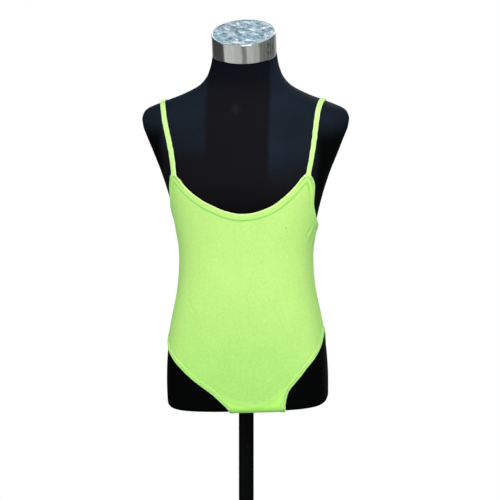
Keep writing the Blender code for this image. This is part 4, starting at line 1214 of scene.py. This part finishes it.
def bindingSection(width, length, grooves, seed, seamShade, rolls=0.30 * mm):
    low, thick = cloth["clearance"], strip["thickness"]
    start = strip["seamStart"]
    top = np.array([0.3, 0.8, 1.3, 1.8, 2.3, 2.8, 3.4]) * mm
    middle = np.linspace(3.9 * mm, width - 3.9 * mm, 5) if width > 8.5 * mm else np.array([width / 2])
    top = np.unique(np.concatenate([top, middle, width - top]))[::-1]
    at = np.concatenate([[start, width / 2, width - 0.9 * mm, width - 0.15 * mm, width], top, [start]])
    count = len(length)
    offsets = np.tile(at, (count, 1))
    lifts = np.full((count, len(at)), low)
    edge = np.abs(2 * at / width - 1)
    domed = low + thick * np.sqrt(np.clip(1 - edge**4, 0.02, 1))
    domed += (0.45 * thick * np.clip(1 - at / (0.9 * mm), 0, 1))  # the seam side stays high beside the panel
    domed += groove(at, width - 1.5 * mm, 1.0 * mm, rolls)
    over = slice(5, None)
    lifts[:, over] = domed[over]
    lifts[:, 3], lifts[:, 4] = low + 0.15 * mm, low + 0.55 * mm
    lifts[:, -1] = low + 0.50 * thick
    # painted highlight on the rolled free edge, painted shade at the seam side and along each groove
    paintedLights = np.zeros_like(lifts)
    paintedLights[:, over] += groove(at[over], width - 0.6 * mm, 1.0 * mm, 0.75)
    paintedLights[:, over] -= np.outer(seamShade, near(at[over], 1.3 * mm))
    paintedLights[:, 3:5] += 0.6
    for place, wide, depth, strength, dark in grooves:
        lifts[:, over] -= groove(at[over], place, wide, depth) * np.broadcast_to(strength, count)[:, None]
        paintedLights[:, over] -= groove(at[over], place, wide * 1.2, dark) * np.broadcast_to(strength, count)[:, None]
    draw = np.random.RandomState(seed)
    wave, slow = waves(length, draw, 4, 8, 19), waves(length, draw, 3, 22, 60)
    bulge = np.clip(1 - edge**2, 0, 1)
    lifts[:, over] += np.outer(wave, bulge[over]) * strip["pucker"]
    freeSide = np.clip(at / width, 0, 1) ** 2
    offsets += np.outer(slow + 0.4 * wave, freeSide) * strip["wander"]
    return offsets, lifts, paintedLights


def trim(bm, point, direction):
    close = {v for v in bm.verts if (v.co - Vector(point)).length < strip["trimReach"]}
    faces = [f for f in bm.faces if close.intersection(f.verts)]
    sides = {e for f in faces for e in f.edges}
    geometry = list({v for f in faces for v in f.verts}) + list(sides) + faces
    cut = bmesh.ops.bisect_plane(
        bm, geom=geometry, plane_co=Vector(point), plane_no=Vector(direction), clear_outer=True, dist=1e-7,
    )
    bmesh.ops.holes_fill(bm, edges=[g for g in cut["geom_cut"] if isinstance(g, bmesh.types.BMEdge)], sides=0)


def overrun(line):
    head, tail = line[0] - line[1], line[-1] - line[-2]
    steps = np.arange(strip["step"], strip["overrun"], strip["step"])[:, None]
    before = settled(line[0] + steps[::-1] * head / np.linalg.norm(head))
    after = settled(line[-1] + steps * tail / np.linalg.norm(tail))
    return np.vstack([before, line, after]), len(before)


def edgeBinding(name, line, peaks, towards, width, node, seed):
    fine = evenSteps(line, strip["step"])
    middle = fine[len(fine) // 2]
    towardsNeck = node.startswith("neck")
    fine, extra = overrun(fine)
    length = lengthsAlong(fine)
    fromPeak = np.minimum(np.abs(length - length[extra]), np.abs(length - length[-extra - 1]))
    grooves = [(width - strip["peakGroove"], 1.1 * mm, 0.50 * mm, near(fromPeak, strip["peakFade"]), 0.75)]
    lowest = cloth["neckSeamShade"] if towardsNeck else cloth["armSeamShade"]
    seamShade = cloth["neckSeamShade"] - (cloth["neckSeamShade"] - lowest) * smoothStep(fromPeak / cloth["seamFade"])
    offsets, lifts, paintedLights = bindingSection(width, length, grooves, seed, seamShade)
    freeSide = np.clip(offsets / width, 0, 1) ** 2
    for end, reach, spread, bulge in strip["bulges"].get(node, ()):  # where the free edge is stretched out or drawn in
        fromEnd = length - length[extra] if end == "head" else length[-extra - 1] - length
        offsets = offsets + freeSide * groove(fromEnd, reach, spread, bulge)[:, None]
    places, faces, corners, paintedLights = stripMesh(fine, offsets, lifts, paintedLights, towards)
    piece = makePiece(name, places, faces, materials["binding"], tone=paintedLights, corners=corners)
    bm = bmesh.new()
    bm.from_mesh(piece.data)
    for peak in peaks:
        point, foot = peakCorner(peak), peakFoot(peak)
        side = np.cross(foot - point, outward(point[None])[0])
        side /= np.linalg.norm(side)
        if np.dot(side, middle - point) > 0:
            side = -side
        trim(bm, onStand(point + side * 0.02 * mm), side)
        trim(bm, onStand(foot + np.array([0, 0, 1.5 * mm])), (0, 0, 1))
        if not towardsNeck:
            away = np.sign(foot[0])
            beside, up, steep = strip["shoulder"]
            trim(bm, onStand(foot + np.array([away * beside, 0, up])), (away * steep, 0, 1))
    bmesh.ops.recalc_face_normals(bm, faces=bm.faces)
    bm.to_mesh(piece.data)
    bm.free()
    piece.data.shade_smooth()
    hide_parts(node)
    return piece


def legBinding(name, ring, towards, node, seed):
    line = evenSteps(np.vstack([ring, ring[:1]]), strip["step"])[:-1]
    width = strip["legWidth"]
    length = lengthsAlong(line)
    # painted shade in the middle groove, and a painted highlight on a band nearer the seam
    grooves = [(width * 0.55, 0.75 * mm, 0.45 * mm, 1.0, 0.35), (width * 0.24, 1.2 * mm, -0.10 * mm, 1.0, -0.28)]
    sections = bindingSection(width, length, grooves, seed, np.full(len(length), 0.15), 0.15 * mm)
    places, faces, corners, paintedLights = stripMesh(line, *sections, towards, closed=True)
    piece = makePiece(name, places, faces, materials["binding"], tone=paintedLights, corners=corners)
    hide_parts(node)
    return piece


straps = {
    "left": (
        (-97.2, -54.5, 336), (-100.7, -50.5, 367), (-106, -45, 391), (-111.5, -40, 412), (-116, -28, 434),
        (-118.5, -13, 441), (-119, 2, 443), (-118, 18, 440), (-114, 40, 426), (-106, 56, 402), (-97, 62, 368),
        (-86, 62, 328),
    ),
    "right": (
        (94.5, -60, 336), (100, -54, 368), (103.2, -49, 391), (105.6, -44, 413), (108, -33, 433), (111.5, -18, 444),
        (114, 0, 446), (113, 18, 443), (110, 40, 430), (104, 57, 402), (96, 63, 368), (86, 62, 328),
    ),
    "footDrop": 2.5 * mm, "footArch": 3.2 * mm, "footReach": 9 * mm, "flare": 2.8 * mm, "flareReach": 8 * mm,
    "footThickness": 1.3 * mm, "footLift": 1.55 * mm,
    "swell": {"strapLeftStrip": 0.20, "strapRightStrip": 0.0}, "swellReach": 110 * mm,  # wider towards the front foot
}


def strapPiece(name, route, peaks, node, seed):
    line = lineThrough(np.asarray(route, float) * mm)
    lowest = [peakFoot(peak)[2] - straps["footDrop"] for peak in peaks]
    half = len(line) // 2
    first = np.argmax(line[:half, 2] > lowest[0])
    last = half + np.argmax(line[half:, 2] < lowest[1]) if (line[half:, 2] < lowest[1]).any() else len(line) - 1
    along = lengthsAlong(line)
    span = along[last] - along[first]
    count = int(span / strip["step"]) + 1
    share = np.linspace(0, 1, count)
    halfWidth = strip["strapWidth"] / 2
    side = np.array([1.0, 0.93, 0.84, 0.70, 0.50, 0.30, 0.16, 0.08])
    top = np.concatenate([side, [0.0], -side[::-1]])
    at = np.concatenate([[-0.9, 0.0, 0.9], top])
    fromEnd = np.minimum(share, 1 - share) * span
    foot = 1 - smoothStep(fromEnd / straps["footReach"])
    flare = (1 - np.clip(fromEnd / straps["flareReach"], 0, 1)) ** 2
    low = cloth["clearance"] + straps["footLift"] * foot
    thick = strip["thickness"] * (1 - foot) + straps["footThickness"] * foot
    edge = np.abs(at)
    domed = np.sqrt(np.clip(1 - edge**4, 0.0, 1)) * 0.85 + 0.15
    lifts = low[:, None] + np.outer(thick, domed)
    lifts += groove(at, 0.78, 0.16, 0.22 * mm) + groove(at, -0.78, 0.16, 0.22 * mm) - groove(at, 0.05, 0.16, 0.42 * mm)
    lifts[:, :3] = low[:, None]
    # painted sheen over the whole strap, painted highlights on its edges, painted shade in its middle groove
    tone = 0.35 + groove(at, 0.95, 0.25, 0.6) + groove(at, -0.95, 0.25, 0.6) - groove(at, 0.05, 0.13, 0.45)
    paintedLights = np.tile(tone, (count, 1))
    paintedLights[:, :3] = 0
    wave = waves(share * span, np.random.RandomState(seed), 4, 9, 22)
    lifts[:, 3:] += np.outer(wave, np.clip(1 - edge[3:] ** 2, 0, 1)) * strip["pucker"]
    swell = 1 + straps["swell"][name] * smoothStep(1 - share * span / straps["swellReach"])
    offsets = np.outer(halfWidth * swell + straps["flare"] * flare, at) + (wave * 0.12 * mm)[:, None]
    # each point of the section has its own place along, so that the ends arch over the seams
    arch = straps["footArch"] * edge[None] ** 2 * foot[:, None]
    here = along[first] + share[:, None] * span
    here = here + np.where(share[:, None] < 0.5, -arch, arch)
    across = acrossOf(line, 1, False)
    spot = np.stack([np.interp(here, along, line[:, k]) for k in range(3)], axis=-1)
    sideways = np.stack([np.interp(here, along, across[:, k]) for k in range(3)], axis=-1)
    base = (spot + sideways * offsets[..., None]).reshape(-1, 3)
    places = onStand(lifted(settled(base, 3), lifts.ravel()))
    ringSize = len(at)
    faces = gridFaces(count, ringSize, wrap=True).tolist()
    for start in (0, (count - 1) * ringSize):  # the flat ends, as quads from the underside to the top
        upper = [start + 3 + j for j in range(len(top))]
        lower = [start + 2, start + 1, start + 0]
        faces += [[upper[0], lower[0], lower[1]] + upper[1 : len(top) // 2 + 1][::-1]]
        faces += [[lower[1], lower[2], upper[-1]] + upper[len(top) // 2 : -1][::-1]]
    uv = np.column_stack([offsets.ravel(), here.ravel()])
    piece = makePiece(name, places, faces, materials["strap"], uv=uv, tone=paintedLights.ravel())
    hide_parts(node)
    middle = 3 + len(side)
    stitchLine = onStand(lifted(settled(spot[:, middle], 3), lifts[:, middle] + 0.02 * mm))
    return piece, stitchLine


neckBindingFront = edgeBinding(
    "neckBindingFrontStrip", neckFront, ("frontLeft", "frontRight"), 1, strip["neckWidth"], "neck_binding_front", 51,
)
neckBindingBack = edgeBinding(
    "neckBindingBackStrip", neckBack, ("backLeft", "backRight"), -1, strip["neckWidth"], "neck_binding_back", 52,
)
armBindingLeft = edgeBinding(
    "armBindingLeftStrip", armLeft, ("frontLeft", "backLeft"), -1, strip["armWidth"], "arm_binding_left", 53,
)
armBindingRight = edgeBinding(
    "armBindingRightStrip", armRight, ("frontRight", "backRight"), 1, strip["armWidth"], "arm_binding_right", 54,
)
legRingLeft = joined(
    shorterWay(legLeft, leftLow, leftFrontEnd), leftRun, shorterWay(legLeft, leftBackEnd, leftLow),
)[:-1]
legRingRight = joined(
    shorterWay(legRight, rightLow, rightFrontEnd), rightRun, shorterWay(legRight, rightBackEnd, rightLow),
)[:-1]
legBindingLeft = legBinding("legBindingLeftStrip", legRingLeft, -1, "leg_binding_left", 55)
legBindingRight = legBinding("legBindingRightStrip", legRingRight, 1, "leg_binding_right", 56)
strapLeft, strapLineLeft = strapPiece(
    "strapLeftStrip", straps["left"], ("frontLeft", "backLeft"), "strap_left", 57,
)
strapRight, strapLineRight = strapPiece(
    "strapRightStrip", straps["right"], ("frontRight", "backRight"), "strap_right", 58,
)
print("leotard: bindings and straps ready")

# Stitches, laid along the seams by Geometry Nodes

stitching = {"pitch": 2.6 * mm, "length": 2.0 * mm, "radius": 0.17 * mm, "jitter": 0.10, "seed": 7}


def seamRow(line, offset, lift, towards, closed=False, clip=0.0):
    fine = evenSteps(np.vstack([line, line[:1]]) if closed else line, 1.0 * mm)
    if closed:
        fine = fine[:-1]
    if clip:
        along = lengthsAlong(fine)
        fine = fine[(along > clip) & (along < along[-1] - clip)]
    row = onStand(lifted(settled(fine + acrossOf(fine, towards, closed) * offset, 3), lift))
    return np.vstack([row, row[:1]]) if closed else row


def stitchTree(material):
    tree = bpy.data.node_groups.new("seam_stitches", "GeometryNodeTree")
    sizes = dict.fromkeys(("Pitch", "Length", "Radius", "Jitter"), "Float")
    kinds = {"Seams": "Geometry", **sizes, "Seed": "Int"}
    for name, kind in kinds.items():
        tree.interface.new_socket(name, in_out="INPUT", socket_type="NodeSocket" + kind)
    tree.interface.new_socket("Stitches", in_out="OUTPUT", socket_type="NodeSocketGeometry")

    def add(kind, settings=None, inputs=None):
        node = tree.nodes.new(kind)
        for key, value in (settings or {}).items():
            setattr(node, key, value)
        for key, value in (inputs or {}).items():
            if isinstance(value, bpy.types.NodeSocket):
                tree.links.new(value, node.inputs[key])
            else:
                node.inputs[key].default_value = value
        return node.outputs

    given = add("NodeGroupInput")
    curve = add("GeometryNodeMeshToCurve", None, {"Mesh": given["Seams"]})
    even = add("GeometryNodeResampleCurve", {"mode": "LENGTH"}, {"Curve": curve[0], "Length": given["Pitch"]})
    ball = add("GeometryNodeMeshUVSphere", None, {"Segments": 6, "Rings": 5, "Radius": 1.0})
    half = add("ShaderNodeMath", {"operation": "MULTIPLY"}, {0: given["Length"], 1: 0.5})
    size = add("ShaderNodeCombineXYZ", None, {"X": given["Radius"], "Y": given["Radius"], "Z": half[0]})
    thread = add("GeometryNodeTransform", None, {"Geometry": ball[0], "Scale": size[0]})
    tangent = add("GeometryNodeInputTangent")
    turn = add("FunctionNodeAlignRotationToVector", {"axis": "Z"}, {"Vector": tangent[0]})
    low = add("ShaderNodeMath", {"operation": "SUBTRACT"}, {0: 1.0, 1: given["Jitter"]})
    high = add("ShaderNodeMath", {"operation": "ADD"}, {0: 1.0, 1: given["Jitter"]})
    vary = add("FunctionNodeRandomValue", {"data_type": "FLOAT"}, {2: low[0], 3: high[0], "Seed": given["Seed"]})
    placed = add("GeometryNodeInstanceOnPoints", None, {
        "Points": even[0], "Instance": thread[0], "Rotation": turn[0], "Scale": vary[1],
    })
    real = add("GeometryNodeRealizeInstances", None, {"Geometry": placed[0]})
    dressed = add("GeometryNodeSetMaterial", None, {"Geometry": real[0], "Material": material})
    add("NodeGroupOutput", None, {0: dressed[0]})
    return tree


def addStitches(name, rows, tree):
    places, wires = [], []
    for row in rows:
        start = len(places)
        places += [tuple(p) for p in row]
        wires += [(start + k, start + k + 1) for k in range(len(row) - 1)]
    mesh = bpy.data.meshes.new(name + "Lines")
    mesh.from_pydata(places, wires, [])
    carrier = linked(name + "Lines", mesh)
    layer = carrier.modifiers.new("stitches", "NODES")
    layer.node_group = tree
    sockets = {item.name: item.identifier for item in tree.interface.items_tree if item.in_out == "INPUT"}
    for key in ("pitch", "length", "radius", "jitter", "seed"):
        layer[sockets[key.capitalize()]] = stitching[key]
    bpy.context.view_layer.update()
    plain = bpy.data.meshes.new_from_object(carrier.evaluated_get(bpy.context.evaluated_depsgraph_get()))
    bpy.data.objects.remove(carrier, do_unlink=True)
    plain.name = name
    plain.shade_smooth()
    return finishPiece(linked(name, plain), materials["thread"])


bindingTop = cloth["clearance"] + strip["thickness"]
tree = stitchTree(materials["thread"])
frontStitches = addStitches("frontStitches", [
    seamRow(neckFront, 2.0 * mm, bindingTop - 0.25 * mm, 1, clip=6 * mm),
    strapLineLeft, strapLineRight,
], tree)
backStitches = addStitches("backStitches", [
    seamRow(neckBack, 2.0 * mm, bindingTop - 0.25 * mm, -1, clip=6 * mm),
    seamRow(armLeft, 2.0 * mm, bindingTop - 0.25 * mm, -1, clip=8 * mm),
    seamRow(armRight, 2.0 * mm, bindingTop - 0.25 * mm, 1, clip=8 * mm),
], tree)
legStitches = addStitches("legStitches", [
    seamRow(legRingLeft, strip["legWidth"] * 0.52, bindingTop - 0.52 * mm, -1, closed=True),
    seamRow(legRingRight, strip["legWidth"] * 0.52, bindingTop - 0.52 * mm, 1, closed=True),
], tree)
print("leotard: stitches ready")

shown = [piece for piece in scene.objects if piece.type == "MESH" and not piece.hide_render]
triangles = {piece.name: sum(len(face.vertices) - 2 for face in piece.data.polygons) for piece in shown}
print("leotard: triangles", triangles, "in all", sum(triangles.values()))
